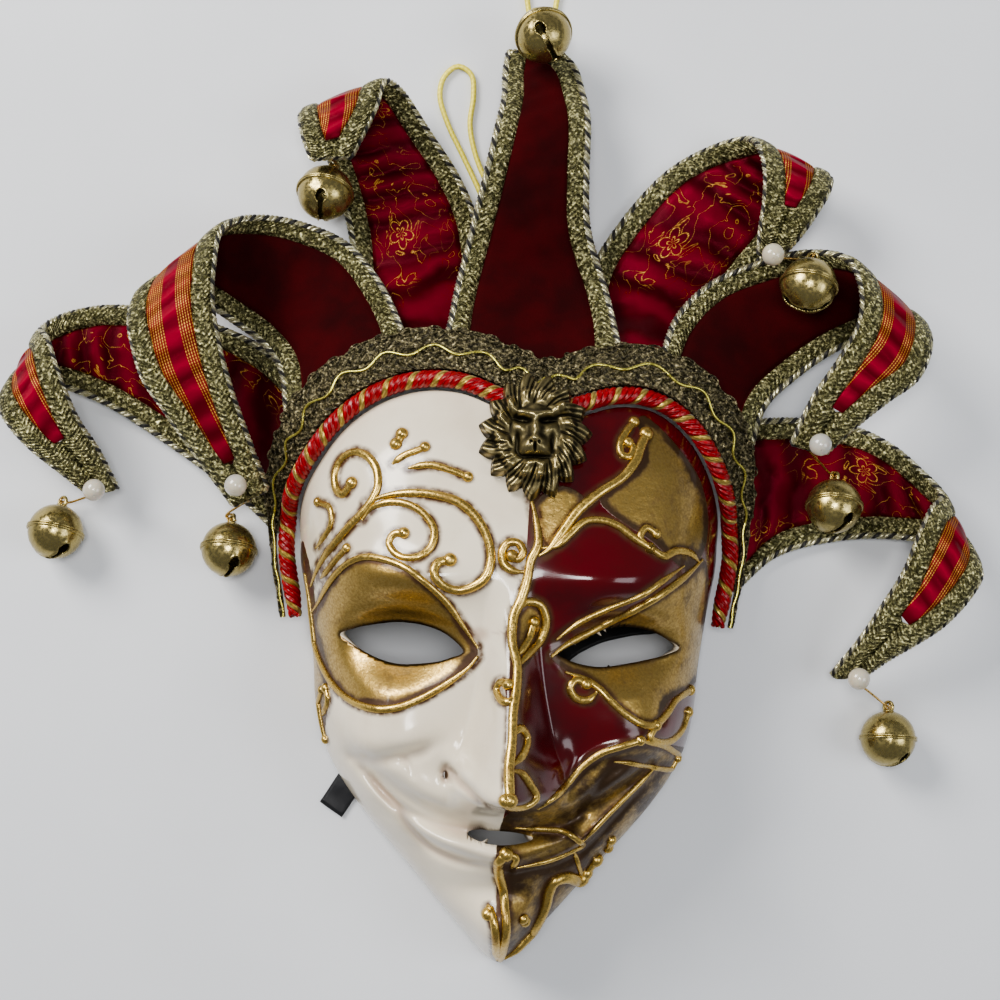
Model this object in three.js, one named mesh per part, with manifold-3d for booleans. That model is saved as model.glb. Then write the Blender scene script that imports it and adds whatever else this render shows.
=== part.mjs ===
// Jester mask: a hollow full-face shell with seven folded cloth horns, bells and a lion brooch.
// Millimetres. +Z points out of the face, +Y to the crown, +X to the wearer's left.
import * as THREE from 'three';
import { mergeVertices } from 'three/addons/utils/BufferGeometryUtils.js';
import Module from 'manifold-3d';

const wasm = await Module();
wasm.setup();

// Face sizes
const FACE_HALF_WIDTH = 77;
const CHIN_DROP = 110;
const CROWN_RISE = 97;
const FACE_DEPTH = 66;
const SHELL_WALL = 3;
const CHEEK_ARCH = 2.4;
const NOSE_LENGTH = 62;
const NOSE_RISE = 31;
const NOSE_HALF_WIDTH = 21;
const EYE_SPACING = 76;
const EYE_HALF_LENGTH = 21;
const EYE_HALF_HEIGHT = 6.6;
const MOUTH_LENGTH = 23;
const MOUTH_HEIGHT = 4.6;
const MOUTH_DROP = 55;

// Trim sizes
const CLEARANCE = 0.3;
const CORD_RADIUS = 3.15;
const LACE_THICKNESS = 1.2;
const LACE_WIDTH = 14;
const LACE_END_WIDTH = 3;
const SCALLOP_COUNT = 22;
const SCALLOP_DEPTH = 1.8;

// Horn sizes
const HORN_REACH = 100;
const HORN_THICKNESS = 3;
const BRAID_WIDTH = 7;
const BRAID_THICKNESS = 4.4;
const SKIRT_FALL = 62;
const LACE_GAP = 0.7;
const LAYER_GAP = 1.2;
const BRAID_GAP = 0.6;

// Metal and pearl sizes
const BELL_RADIUS = 10;
const BELL_WALL = 0.9;
const BELL_SEAM = 0.7;
const BELL_SLOT = 1.5;
const BELL_HOLE_RADIUS = 1.7;
const SHANK_RADIUS = 1.8;
const SHANK_WIRE = 0.7;
const LINK_RADIUS = 0.6;
const PEARL_RADIUS = 4;
const BROOCH_WIDTH = 38;
const BROOCH_HEIGHT = 44;
const BROOCH_BASE = 2.4;
const BROOCH_TILT = 12;
const BROOCH_X = 8.3;
const BROOCH_Y = 72;

// Cord and tie sizes
const HANG_CORD_RADIUS = 1;
const TIE_WIDTH = 10;
const TIE_THICKNESS = 1;

// Heights of the cloth above the surface that the mask lies on
const BRAID_HALF = BRAID_THICKNESS / 2;
const FRONT_LAYER = -(LACE_THICKNESS / 2 + LACE_GAP + BRAID_HALF);
const BACK_LAYER = FRONT_LAYER - BRAID_THICKNESS - LAYER_GAP;
const SKIRT_REST = -BACK_LAYER + BRAID_HALF + CLEARANCE;

const FACE_CENTRE = new THREE.Vector2(0.5, -10);
const NOSE_ROOT_Y = 15;
const FEATURE_X = 2;

const clamp01 = (value) => Math.min(1, Math.max(0, value));
const smooth = (from, to, value) => {
  const share = clamp01((value - from) / (to - from));
  return share * share * (3 - 2 * share);
};
const bell2 = (x, y, halfX, halfY) => Math.exp(-(x * x) / (halfX * halfX) - (y * y) / (halfY * halfY));

// Half outline of the lower face: share of the chin's drop, share of the half width
const JAW_ROWS = [
  { down: 1, out: 0 },
  { down: 0.975, out: 0.065 },
  { down: 0.93, out: 0.125 },
  { down: 0.82, out: 0.266 },
  { down: 0.655, out: 0.468 },
  { down: 0.545, out: 0.604 },
  { down: 0.436, out: 0.727 },
  { down: 0.336, out: 0.818 },
  { down: 0.255, out: 0.87 },
  { down: 0.127, out: 0.909 },
  { down: 0, out: 0.922 },
  { down: -0.23, out: 0.961 },
  { down: -0.38, out: 0.994 },
  { down: -0.47, out: 1 },
];

// Upper edge of the shell from the wearer's left to right: shares of the half width and of the crown's rise
const ARCH_ROWS = [
  { out: 0.968, up: 0.619 },
  { out: 0.89, up: 0.765 },
  { out: 0.78, up: 0.882 },
  { out: 0.636, up: 0.955 },
  { out: 0.48, up: 0.965 },
  { out: 0.3, up: 0.925 },
  { out: 0.13, up: 0.897 },
  { out: -0.052, up: 0.945 },
  { out: -0.234, up: 1 },
  { out: -0.42, up: 1.005 },
  { out: -0.6, up: 0.959 },
  { out: -0.753, up: 0.871 },
  { out: -0.88, up: 0.742 },
  { out: -0.968, up: 0.619 },
];

// The dip in the middle of the upper edge, where the brooch sits
const DIP_ROW = ARCH_ROWS[6];

// The head's outline that the shell's upper edge cuts short
const HEAD_ROWS = [
  { out: 1.006, up: 0.619 },
  { out: 0.987, up: 0.784 },
  { out: 0.883, up: 1.03 },
  { out: 0.623, up: 1.258 },
  { out: 0.26, up: 1.38 },
  { out: -0.26, up: 1.38 },
  { out: -0.623, up: 1.258 },
  { out: -0.883, up: 1.03 },
  { out: -0.987, up: 0.784 },
  { out: -1.006, up: 0.619 },
];

// Height of the face's middle line without its features: share along, chin -1 to crown 1, share of the depth
const PROFILE_ROWS = [
  { along: -1, height: 0.92 },
  { along: -0.82, height: 0.92 },
  { along: -0.68, height: 0.84 },
  { along: -0.6, height: 0.84 },
  { along: -0.49, height: 0.91 },
  { along: -0.36, height: 0.95 },
  { along: 0.1, height: 0.97 },
  { along: 0.41, height: 1.03 },
  { along: 0.72, height: 1 },
  { along: 1.03, height: 0.92 },
  { along: 1.4, height: 0.85 },
];

// A closed outline as its radius by angle round the face's centre
function outlineRadius(upperRows) {
  const right = JAW_ROWS.map((row) => new THREE.Vector2(row.out * FACE_HALF_WIDTH, -row.down * CHIN_DROP));
  const upper = upperRows.map((row) => new THREE.Vector2(row.out * FACE_HALF_WIDTH, row.up * CROWN_RISE));
  const left = right.slice(1).map((point) => new THREE.Vector2(-point.x, point.y)).reverse();
  const rise = (y) => (y > 0 ? y * (CROWN_RISE / CHIN_DROP) : y);
  for (const point of [...right, ...left]) point.y = rise(point.y);
  const ring = [...right, ...upper, ...left].map((point) => new THREE.Vector3(point.x, point.y, 0));
  const samples = new THREE.CatmullRomCurve3(ring, true, 'centripetal')
    .getPoints(720)
    .map((point) => ({ angle: Math.atan2(point.y, point.x), radius: Math.hypot(point.x, point.y) }))
    .sort((one, other) => one.angle - other.angle);
  return (angle) => {
    const turned = Math.atan2(Math.sin(angle), Math.cos(angle));
    const after = samples.findIndex((sample) => sample.angle >= turned);
    if (after <= 0) return samples[0].radius;
    const low = samples[after - 1];
    const high = samples[after];
    const share = (turned - low.angle) / Math.max(1e-9, high.angle - low.angle);
    return low.radius + (high.radius - low.radius) * share;
  };
}

const edgeRadius = outlineRadius(ARCH_ROWS);
const headRadius = outlineRadius(HEAD_ROWS);

function profileHeight(y) {
  const along = y / (y < 0 ? CHIN_DROP : CROWN_RISE);
  const after = Math.max(1, PROFILE_ROWS.findIndex((row) => row.along >= along));
  const low = PROFILE_ROWS[after - 1];
  const high = PROFILE_ROWS[after];
  const share = smooth(low.along, high.along, along);
  return FACE_DEPTH * (low.height + (high.height - low.height) * share);
}

// Nose: a ridge that widens and rises from between the eyes to a hooked tip
function noseHeight(x, y) {
  const along = (NOSE_ROOT_Y - y) / NOSE_LENGTH;
  const rise = NOSE_RISE * (0.16 + 0.84 * Math.pow(clamp01(along), 1.25)) * smooth(-0.25, 0.12, along);
  const half = NOSE_HALF_WIDTH * (0.46 + 0.54 * Math.pow(clamp01(along), 2));
  const across = Math.min(1, Math.abs(x - FEATURE_X) / half);
  const underside = 1 - smooth(1, 1.18, along);
  const wing = 6 * bell2(Math.abs(x - FEATURE_X) - 0.78 * NOSE_HALF_WIDTH, along - 0.9, 4.5, 0.13);
  return (rise * Math.pow(1 - across * across, 1.6) + wing) * underside;
}

const smileY = (x) => FACE_CENTRE.y - MOUTH_DROP + 22 * Math.pow(Math.abs(x - 1) / 50, 1.7);

// Sockets, brows, cheeks, smile folds, lips and chin
function featureHeight(x, y) {
  const side = Math.abs(x - FEATURE_X);
  const eyeX = side - EYE_SPACING / 2;
  const socket = Math.max(0, 1 - (eyeX / 27) ** 2 - ((y - 2) / 19) ** 2);
  const fold = y - smileY(x);
  const foldEnd = 1 - smooth(46, 60, side);
  return (
    noseHeight(x, y) -
    11 * socket * socket +
    4.5 * bell2(side - 34, y - 24, 22, 7) +
    6 * bell2(side - 46, y + 28, 15, 13) -
    3.6 * bell2(fold, 0, 4.4, 1) * foldEnd +
    3.5 * bell2(fold - 8, side - 32, 6, 18) +
    4.5 * bell2(fold + 8, x, 5, 26) -
    3 * bell2(y + 86, x, 6, 15) +
    5 * bell2(y + 103, x, 9, 9)
  );
}

// Height of the face's outer surface over a point of the plan
function faceHeight(x, y) {
  const dx = x - FACE_CENTRE.x;
  const dy = y - FACE_CENTRE.y;
  const angle = Math.atan2(dy, dx);
  const share = Math.min(1, Math.hypot(dx, dy) / headRadius(angle));
  const cheek = CHEEK_ARCH * Math.sin(clamp01((-dy - 14) / (CHIN_DROP - 30)) * Math.PI) ** 2;
  const dome = Math.sqrt(Math.max(0, 1 - share ** 3));
  const fade = 1 - smooth(0.86, 0.99, share);
  return cheek + (profileHeight(dy) - cheek) * dome + featureHeight(x, y) * fade;
}

const edgeHeight = (angle) => {
  const radius = edgeRadius(angle);
  return faceHeight(FACE_CENTRE.x + radius * Math.cos(angle), FACE_CENTRE.y + radius * Math.sin(angle));
};

// A point outside the shell's edge, at a distance from it in the plan
function besideEdge(angle, distance) {
  const step = 0.01;
  const at = (turn) => new THREE.Vector2(Math.cos(turn), Math.sin(turn)).multiplyScalar(edgeRadius(turn));
  const along = at(angle + step).sub(at(angle - step)).normalize();
  const point = at(angle).add(FACE_CENTRE);
  return new THREE.Vector2(point.x + along.y * distance, point.y - along.x * distance);
}

// The cloth bridges the edge's steep ends, so it follows the edge's mean height over a short stretch
const SKIRT_BRIDGE = THREE.MathUtils.degToRad(6);
const softEdgeHeight = (angle) =>
  [-2, -1, 0, 1, 2].reduce((sum, step) => sum + edgeHeight(angle + step * SKIRT_BRIDGE) / 5, 0);

// Height of the cloth skirt that falls from the shell's edge to the horns
function skirtHeight(x, y) {
  const dx = x - FACE_CENTRE.x;
  const dy = y - FACE_CENTRE.y;
  const angle = Math.atan2(dy, dx);
  const away = Math.hypot(dx, dy) - edgeRadius(angle);
  const above = Math.max(0, softEdgeHeight(angle) - SKIRT_REST);
  return SKIRT_REST + above * (1 - smooth(2, SKIRT_FALL, away));
}

// How much longer than its plan the skirt is at a point, down its slope
function skirtSlope(x, y) {
  const step = 1;
  const slopeX = (skirtHeight(x + step, y) - skirtHeight(x - step, y)) / (2 * step);
  const slopeY = (skirtHeight(x, y + step) - skirtHeight(x, y - step)) / (2 * step);
  return Math.hypot(1, slopeX, slopeY);
}

// Turns a front and a back skin over the same faces into one closed body
function closedSheet(front, back, faces) {
  const index = [];
  const edges = new Set();
  const count = front.length;
  for (const face of faces) {
    for (let corner = 1; corner < face.length - 1; corner++) {
      index.push(face[0], face[corner], face[corner + 1]);
      index.push(face[0] + count, face[corner + 1] + count, face[corner] + count);
    }
    face.forEach((from, corner) => edges.add(`${from}_${face[(corner + 1) % face.length]}`));
  }
  for (const edge of edges) {
    const [from, to] = edge.split('_').map(Number);
    if (edges.has(`${to}_${from}`)) continue;
    const splitFromFront = front[from].distanceTo(back[to]) < front[to].distanceTo(back[from]);
    if (splitFromFront) index.push(from, from + count, to + count, from, to + count, to);
    else index.push(from, from + count, to, from + count, to + count, to);
  }
  const geometry = new THREE.BufferGeometry();
  geometry.setAttribute(
    'position',
    new THREE.Float32BufferAttribute([...front, ...back].flatMap((point) => point.toArray()), 3),
  );
  geometry.setIndex(index);
  return geometry;
}

function toSolid(geometry, matrix = new THREE.Matrix4()) {
  const plain = geometry.clone().applyMatrix4(matrix);
  plain.deleteAttribute('normal');
  plain.deleteAttribute('uv');
  const merged = mergeVertices(plain, 1e-4);
  const triangles = [];
  for (let first = 0; first < merged.index.count; first += 3) {
    const [a, b, c] = [0, 1, 2].map((corner) => merged.index.getX(first + corner));
    if (a !== b && b !== c && c !== a) triangles.push(a, b, c);
  }
  return new wasm.Manifold(
    new wasm.Mesh({
      numProp: 3,
      vertProperties: new Float32Array(merged.attributes.position.array),
      triVerts: new Uint32Array(triangles),
    }),
  );
}

function toGeometry(solid) {
  const mesh = solid.getMesh();
  const geometry = new THREE.BufferGeometry();
  geometry.setAttribute('position', new THREE.BufferAttribute(mesh.vertProperties, 3));
  geometry.setIndex(new THREE.BufferAttribute(mesh.triVerts, 1));
  return geometry;
}

const place = (x, y, z, rotation = new THREE.Euler(), scale = new THREE.Vector3(1, 1, 1)) =>
  new THREE.Matrix4().compose(
    new THREE.Vector3(x, y, z),
    new THREE.Quaternion().setFromEuler(rotation),
    scale,
  );

function circleShape(radius, sides) {
  const shape = new THREE.Shape();
  for (let side = 0; side < sides; side++) {
    const angle = (side / sides) * 2 * Math.PI;
    const point = [radius * Math.cos(angle), radius * Math.sin(angle)];
    if (side === 0) shape.moveTo(...point);
    else shape.lineTo(...point);
  }
  shape.closePath();
  return shape;
}

const tubeAlong = (path, radius, sides, steps) =>
  new THREE.ExtrudeGeometry(circleShape(radius, sides), { steps, extrudePath: path, curveSegments: sides });

const assembly = new THREE.Group();

function addPiece(name, geometry, finish) {
  const mesh = new THREE.Mesh(geometry, new THREE.MeshStandardMaterial(finish));
  mesh.name = name;
  assembly.add(mesh);
  return mesh;
}

const FINISH = {
  enamel: { color: 0xe9e2d6, roughness: 0.28, metalness: 0 },
  velvet: { color: 0x7c0a14, roughness: 0.9, metalness: 0 },
  brocade: { color: 0x9c1220, roughness: 0.5, metalness: 0 },
  braid: { color: 0x8d8352, roughness: 0.45, metalness: 0.6 },
  cord: { color: 0xb3161d, roughness: 0.5, metalness: 0 },
  brass: { color: 0x9c7c3c, roughness: 0.35, metalness: 1 },
  bronze: { color: 0x5d5337, roughness: 0.45, metalness: 1 },
  pearl: { color: 0xeee9df, roughness: 0.25, metalness: 0 },
  elastic: { color: 0xcfae45, roughness: 0.45, metalness: 0.3 },
  ribbon: { color: 0x101012, roughness: 0.4, metalness: 0 },
};

// Shell: rings from the middle of the face to its edge, thickened inwards, with eyes and mouth cut through;
// the spokes crowd together round the mouth and chin
function almond(side) {
  const shape = new THREE.Shape();
  const outer = [-EYE_HALF_LENGTH * side, 0.45 * EYE_HALF_HEIGHT];
  const inner = [EYE_HALF_LENGTH * side, -0.3 * EYE_HALF_HEIGHT];
  const reach = 0.55 * EYE_HALF_LENGTH * side;
  shape.moveTo(...outer);
  shape.bezierCurveTo(-reach, 1.45 * EYE_HALF_HEIGHT, reach, 1.35 * EYE_HALF_HEIGHT, ...inner);
  shape.bezierCurveTo(reach, -1.25 * EYE_HALF_HEIGHT, -reach, -1.25 * EYE_HALF_HEIGHT, ...outer);
  return shape;
}

function mouthShape() {
  const shape = new THREE.Shape();
  const half = MOUTH_LENGTH / 2;
  shape.moveTo(-half, 0.1 * MOUTH_HEIGHT);
  shape.quadraticCurveTo(0, 0.95 * MOUTH_HEIGHT, half, 0.1 * MOUTH_HEIGHT);
  shape.quadraticCurveTo(0, -1.05 * MOUTH_HEIGHT, -half, 0.1 * MOUTH_HEIGHT);
  return shape;
}

function shellGeometry() {
  const spokes = 40;
  const rings = 12;
  const crowding = 0.15;
  const outer = [new THREE.Vector3(FACE_CENTRE.x, FACE_CENTRE.y, faceHeight(FACE_CENTRE.x, FACE_CENTRE.y))];
  for (let ring = 1; ring <= rings; ring++) {
    const share = Math.sin((ring / rings) * (Math.PI / 2));
    for (let spoke = 0; spoke < spokes; spoke++) {
      const turn = (spoke / spokes) * 2 * Math.PI;
      const angle = turn - crowding * Math.cos(turn);
      const radius = edgeRadius(angle) * share;
      const x = FACE_CENTRE.x + radius * Math.cos(angle);
      const y = FACE_CENTRE.y + radius * Math.sin(angle);
      outer.push(new THREE.Vector3(x, y, faceHeight(x, y)));
    }
  }
  const at = (ring, spoke) => 1 + (ring - 1) * spokes + (spoke % spokes);
  const faces = [];
  for (let spoke = 0; spoke < spokes; spoke++) {
    faces.push([0, at(1, spoke), at(1, spoke + 1)]);
    for (let ring = 1; ring < rings; ring++) {
      faces.push([at(ring, spoke), at(ring + 1, spoke), at(ring + 1, spoke + 1), at(ring, spoke + 1)]);
    }
  }
  const normals = outer.map(() => new THREE.Vector3());
  for (const face of faces) {
    for (let corner = 1; corner < face.length - 1; corner++) {
      const [a, b, c] = [face[0], face[corner], face[corner + 1]].map((vertex) => outer[vertex]);
      const normal = new THREE.Vector3().subVectors(b, a).cross(new THREE.Vector3().subVectors(c, a));
      for (const vertex of [face[0], face[corner], face[corner + 1]]) normals[vertex].add(normal);
    }
  }
  const inner = outer.map((point, vertex) => {
    const inward = point.clone().addScaledVector(normals[vertex].normalize(), -SHELL_WALL);
    const onRestingEdge = point.z < CHEEK_ARCH + 0.1;
    if (onRestingEdge) inward.z = point.z;
    return inward;
  });
  let shell = toSolid(closedSheet(outer, inner, faces));
  const depth = 2 * FACE_DEPTH;
  const cutters = [
    { shape: almond(1), x: FEATURE_X - EYE_SPACING / 2, y: 0.5 },
    { shape: almond(-1), x: FEATURE_X + EYE_SPACING / 2, y: 0.5 },
    { shape: mouthShape(), x: 0, y: FACE_CENTRE.y - MOUTH_DROP },
  ];
  for (const cutter of cutters) {
    const prism = new THREE.ExtrudeGeometry(cutter.shape, { depth, bevelEnabled: false, curveSegments: 6 });
    shell = shell.subtract(toSolid(prism, place(cutter.x, cutter.y, FACE_DEPTH / 4)));
  }
  return toGeometry(shell);
}

// Twisted cord and lace along the upper edge of the shell
const TRIM_START = THREE.MathUtils.degToRad(13);
const TRIM_END = THREE.MathUtils.degToRad(167);
const CORD_OFFSET = CORD_RADIUS + 0.9;
const CORD_LIFT = 0.8;

function cordCentre(angle) {
  const point = besideEdge(angle, CORD_OFFSET);
  return new THREE.Vector3(point.x, point.y, Math.max(edgeHeight(angle), SKIRT_REST) + CORD_LIFT);
}

function rimCordGeometry() {
  const points = [];
  const count = 30;
  for (let step = 0; step <= count; step++) {
    points.push(cordCentre(TRIM_START + ((TRIM_END - TRIM_START) * step) / count));
  }
  return tubeAlong(new THREE.CatmullRomCurve3(points), CORD_RADIUS, 8, 42);
}

function laceGeometry() {
  const inside = CORD_OFFSET + CORD_RADIUS + 0.5;
  const rowsPerScallop = 2;
  const columns = 2;
  const rows = SCALLOP_COUNT * rowsPerScallop;
  const middle = [];
  for (let row = 0; row <= rows; row++) {
    const angle = TRIM_START + ((TRIM_END - TRIM_START) * row) / rows;
    const lift = Math.sin(angle);
    const width = LACE_END_WIDTH + (LACE_WIDTH - LACE_END_WIDTH) * smooth(0.45, 0.85, lift);
    const scallop = SCALLOP_DEPTH * (row % rowsPerScallop === 0 ? -0.5 : 0.5);
    for (let column = 0; column <= columns; column++) {
      const point = besideEdge(angle, inside + ((width + scallop) * column) / columns);
      middle.push(new THREE.Vector3(point.x, point.y, skirtHeight(point.x, point.y)));
    }
  }
  const faces = [];
  for (let row = 0; row < rows; row++) {
    for (let column = 0; column < columns; column++) {
      const corner = row * (columns + 1) + column;
      faces.push([corner, corner + 1, corner + columns + 2, corner + columns + 1]);
    }
  }
  const shifted = (height) => middle.map((point) => new THREE.Vector3(point.x, point.y, point.z + height));
  return closedSheet(shifted(LACE_THICKNESS / 2), shifted(-LACE_THICKNESS / 2), faces);
}

// Horns: a row for each section, with the places of its two edges as shares of the reach from the seam's
// middle, and its lift above the skirt; the seam's own ends are angles round the face's centre
const HORNS = [
  {
    name: 'left_low',
    pearl: true,
    layer: BACK_LAYER,
    finish: FINISH.brocade,
    seam: [125, 149],
    rows: [
      { ax: -0.22, ay: 0.48, bx: -0.24, by: -0.09, lift: 0 },
      { ax: -0.54, ay: 0.58, bx: -0.54, by: 0.12, lift: 0 },
      { ax: -0.76, ay: 0.6, bx: -0.76, by: 0.25, lift: 0.02 },
      { ax: -0.91, ay: 0.56, bx: -0.94, by: 0.31, lift: 0.06 },
      { ax: -0.97, ay: 0.5, bx: -1.06, by: 0.29, lift: 0.14 },
      { ax: -0.93, ay: 0.46, bx: -1.09, by: 0.23, lift: 0.22 },
      { ax: -0.88, ay: 0.34, bx: -1.05, by: 0.16, lift: 0.26 },
      { ax: -0.81, ay: 0.17, bx: -0.97, by: 0.07, lift: 0.24 },
      { ax: -0.75, ay: 0.07, bx: -0.89, by: 0, lift: 0.19 },
      { ax: -0.69, ay: -0.07, bx: -0.79, by: -0.09, lift: 0.1 },
    ],
  },
  {
    name: 'left_mid',
    pearl: true,
    layer: FRONT_LAYER,
    finish: FINISH.velvet,
    seam: [109, 137],
    rows: [
      { ax: 0.16, ay: 0.33, bx: -0.24, by: 0.04, lift: 0 },
      { ax: 0.07, ay: 0.5, bx: -0.27, by: 0.18, lift: 0 },
      { ax: -0.05, ay: 0.64, bx: -0.34, by: 0.27, lift: 0.01 },
      { ax: -0.21, ay: 0.71, bx: -0.45, by: 0.35, lift: 0.04 },
      { ax: -0.34, ay: 0.73, bx: -0.59, by: 0.43, lift: 0.09 },
      { ax: -0.44, ay: 0.71, bx: -0.71, by: 0.45, lift: 0.17 },
      { ax: -0.49, ay: 0.65, bx: -0.78, by: 0.41, lift: 0.25 },
      { ax: -0.5, ay: 0.54, bx: -0.79, by: 0.33, lift: 0.3 },
      { ax: -0.5, ay: 0.4, bx: -0.77, by: 0.24, lift: 0.32 },
      { ax: -0.47, ay: 0.23, bx: -0.73, by: 0.12, lift: 0.31 },
      { ax: -0.43, ay: 0.09, bx: -0.65, by: 0, lift: 0.27 },
      { ax: -0.38, ay: -0.06, bx: -0.55, by: -0.15, lift: 0.2 },
      { ax: -0.31, ay: -0.26, bx: -0.43, by: -0.32, lift: 0.12 },
    ],
  },
  {
    name: 'left_top',
    pearl: false,
    layer: BACK_LAYER,
    finish: FINISH.brocade,
    seam: [97, 112],
    rows: [
      { ax: 0.13, ay: 0.39, bx: -0.31, by: 0.25, lift: 0 },
      { ax: 0.09, ay: 0.62, bx: -0.36, by: 0.55, lift: 0 },
      { ax: 0.02, ay: 0.77, bx: -0.41, by: 0.73, lift: 0.01 },
      { ax: -0.09, ay: 0.93, bx: -0.47, by: 0.87, lift: 0.04 },
      { ax: -0.19, ay: 1.06, bx: -0.53, by: 0.96, lift: 0.12 },
      { ax: -0.24, ay: 1.07, bx: -0.54, by: 0.94, lift: 0.2 },
      { ax: -0.27, ay: 0.96, bx: -0.52, by: 0.86, lift: 0.25 },
      { ax: -0.35, ay: 0.79, bx: -0.49, by: 0.78, lift: 0.24 },
    ],
  },
  {
    name: 'center',
    pearl: false,
    layer: FRONT_LAYER,
    finish: FINISH.velvet,
    seam: [67, 105],
    rows: [
      { ax: 0.3, ay: 0.14, bx: -0.3, by: 0.14, lift: 0 },
      { ax: 0.26, ay: 0.34, bx: -0.27, by: 0.34, lift: 0.03 },
      { ax: 0.19, ay: 0.56, bx: -0.22, by: 0.56, lift: 0.09 },
      { ax: 0.18, ay: 0.74, bx: -0.18, by: 0.73, lift: 0.12 },
      { ax: 0.18, ay: 0.94, bx: -0.14, by: 0.92, lift: 0.11 },
      { ax: 0.16, ay: 1.05, bx: -0.12, by: 1.03, lift: 0.06 },
      { ax: 0.13, ay: 1.15, bx: -0.12, by: 1.12, lift: 0.01 },
      { ax: 0.08, ay: 1.21, bx: -0.11, by: 1.21, lift: -0.03 },
    ],
  },
  {
    name: 'right_top',
    pearl: true,
    layer: BACK_LAYER,
    finish: FINISH.brocade,
    seam: [57, 72],
    rows: [
      { ax: 0.23, ay: 0.23, bx: -0.16, by: 0.47, lift: 0 },
      { ax: 0.36, ay: 0.42, bx: -0.06, by: 0.66, lift: 0 },
      { ax: 0.5, ay: 0.6, bx: 0.11, by: 0.86, lift: 0.01 },
      { ax: 0.61, ay: 0.73, bx: 0.27, by: 0.95, lift: 0.04 },
      { ax: 0.67, ay: 0.82, bx: 0.39, by: 0.97, lift: 0.12 },
      { ax: 0.68, ay: 0.82, bx: 0.42, by: 0.93, lift: 0.2 },
      { ax: 0.66, ay: 0.76, bx: 0.44, by: 0.83, lift: 0.25 },
      { ax: 0.62, ay: 0.69, bx: 0.44, by: 0.73, lift: 0.26 },
      { ax: 0.56, ay: 0.6, bx: 0.43, by: 0.63, lift: 0.25 },
      { ax: 0.5, ay: 0.53, bx: 0.43, by: 0.54, lift: 0.21 },
    ],
  },
  {
    name: 'right_mid',
    pearl: true,
    layer: FRONT_LAYER,
    finish: FINISH.velvet,
    seam: [36, 63],
    rows: [
      { ax: 0.19, ay: -0.03, bx: -0.14, by: 0.33, lift: 0 },
      { ax: 0.24, ay: 0.17, bx: -0.08, by: 0.48, lift: 0 },
      { ax: 0.36, ay: 0.29, bx: 0.05, by: 0.62, lift: 0.01 },
      { ax: 0.53, ay: 0.41, bx: 0.22, by: 0.7, lift: 0.04 },
      { ax: 0.71, ay: 0.48, bx: 0.39, by: 0.74, lift: 0.12 },
      { ax: 0.8, ay: 0.47, bx: 0.52, by: 0.71, lift: 0.21 },
      { ax: 0.8, ay: 0.39, bx: 0.56, by: 0.59, lift: 0.29 },
      { ax: 0.75, ay: 0.28, bx: 0.55, by: 0.47, lift: 0.32 },
      { ax: 0.65, ay: 0.2, bx: 0.48, by: 0.33, lift: 0.31 },
      { ax: 0.56, ay: 0.12, bx: 0.4, by: 0.2, lift: 0.27 },
      { ax: 0.46, ay: 0.01, bx: 0.34, by: 0.04, lift: 0.18 },
    ],
  },
  {
    name: 'right_low',
    pearl: true,
    layer: BACK_LAYER,
    finish: FINISH.brocade,
    seam: [22, 52],
    rows: [
      { ax: 0.22, ay: -0.15, bx: 0.18, by: 0.34, lift: 0 },
      { ax: 0.47, ay: -0.08, bx: 0.47, by: 0.33, lift: 0 },
      { ax: 0.67, ay: -0.07, bx: 0.63, by: 0.27, lift: 0.02 },
      { ax: 0.82, ay: -0.09, bx: 0.74, by: 0.17, lift: 0.08 },
      { ax: 0.92, ay: -0.15, bx: 0.8, by: 0.08, lift: 0.16 },
      { ax: 0.93, ay: -0.2, bx: 0.75, by: 0.03, lift: 0.22 },
      { ax: 0.88, ay: -0.28, bx: 0.7, by: -0.07, lift: 0.25 },
      { ax: 0.79, ay: -0.38, bx: 0.65, by: -0.2, lift: 0.25 },
      { ax: 0.7, ay: -0.45, bx: 0.58, by: -0.33, lift: 0.22 },
      { ax: 0.62, ay: -0.51, bx: 0.51, by: -0.46, lift: 0.17 },
      { ax: 0.55, ay: -0.58, bx: 0.43, by: -0.59, lift: 0.09 },
    ],
  },
];

const SEAM_OFFSET = CORD_OFFSET + CORD_RADIUS + 1;
const SURFACE_STEP = 0.02;
const ACROSS_STEP = 0.2;
const TREND_STEP = 0.05;
const MERGE_SHARE = 0.12;

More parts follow.
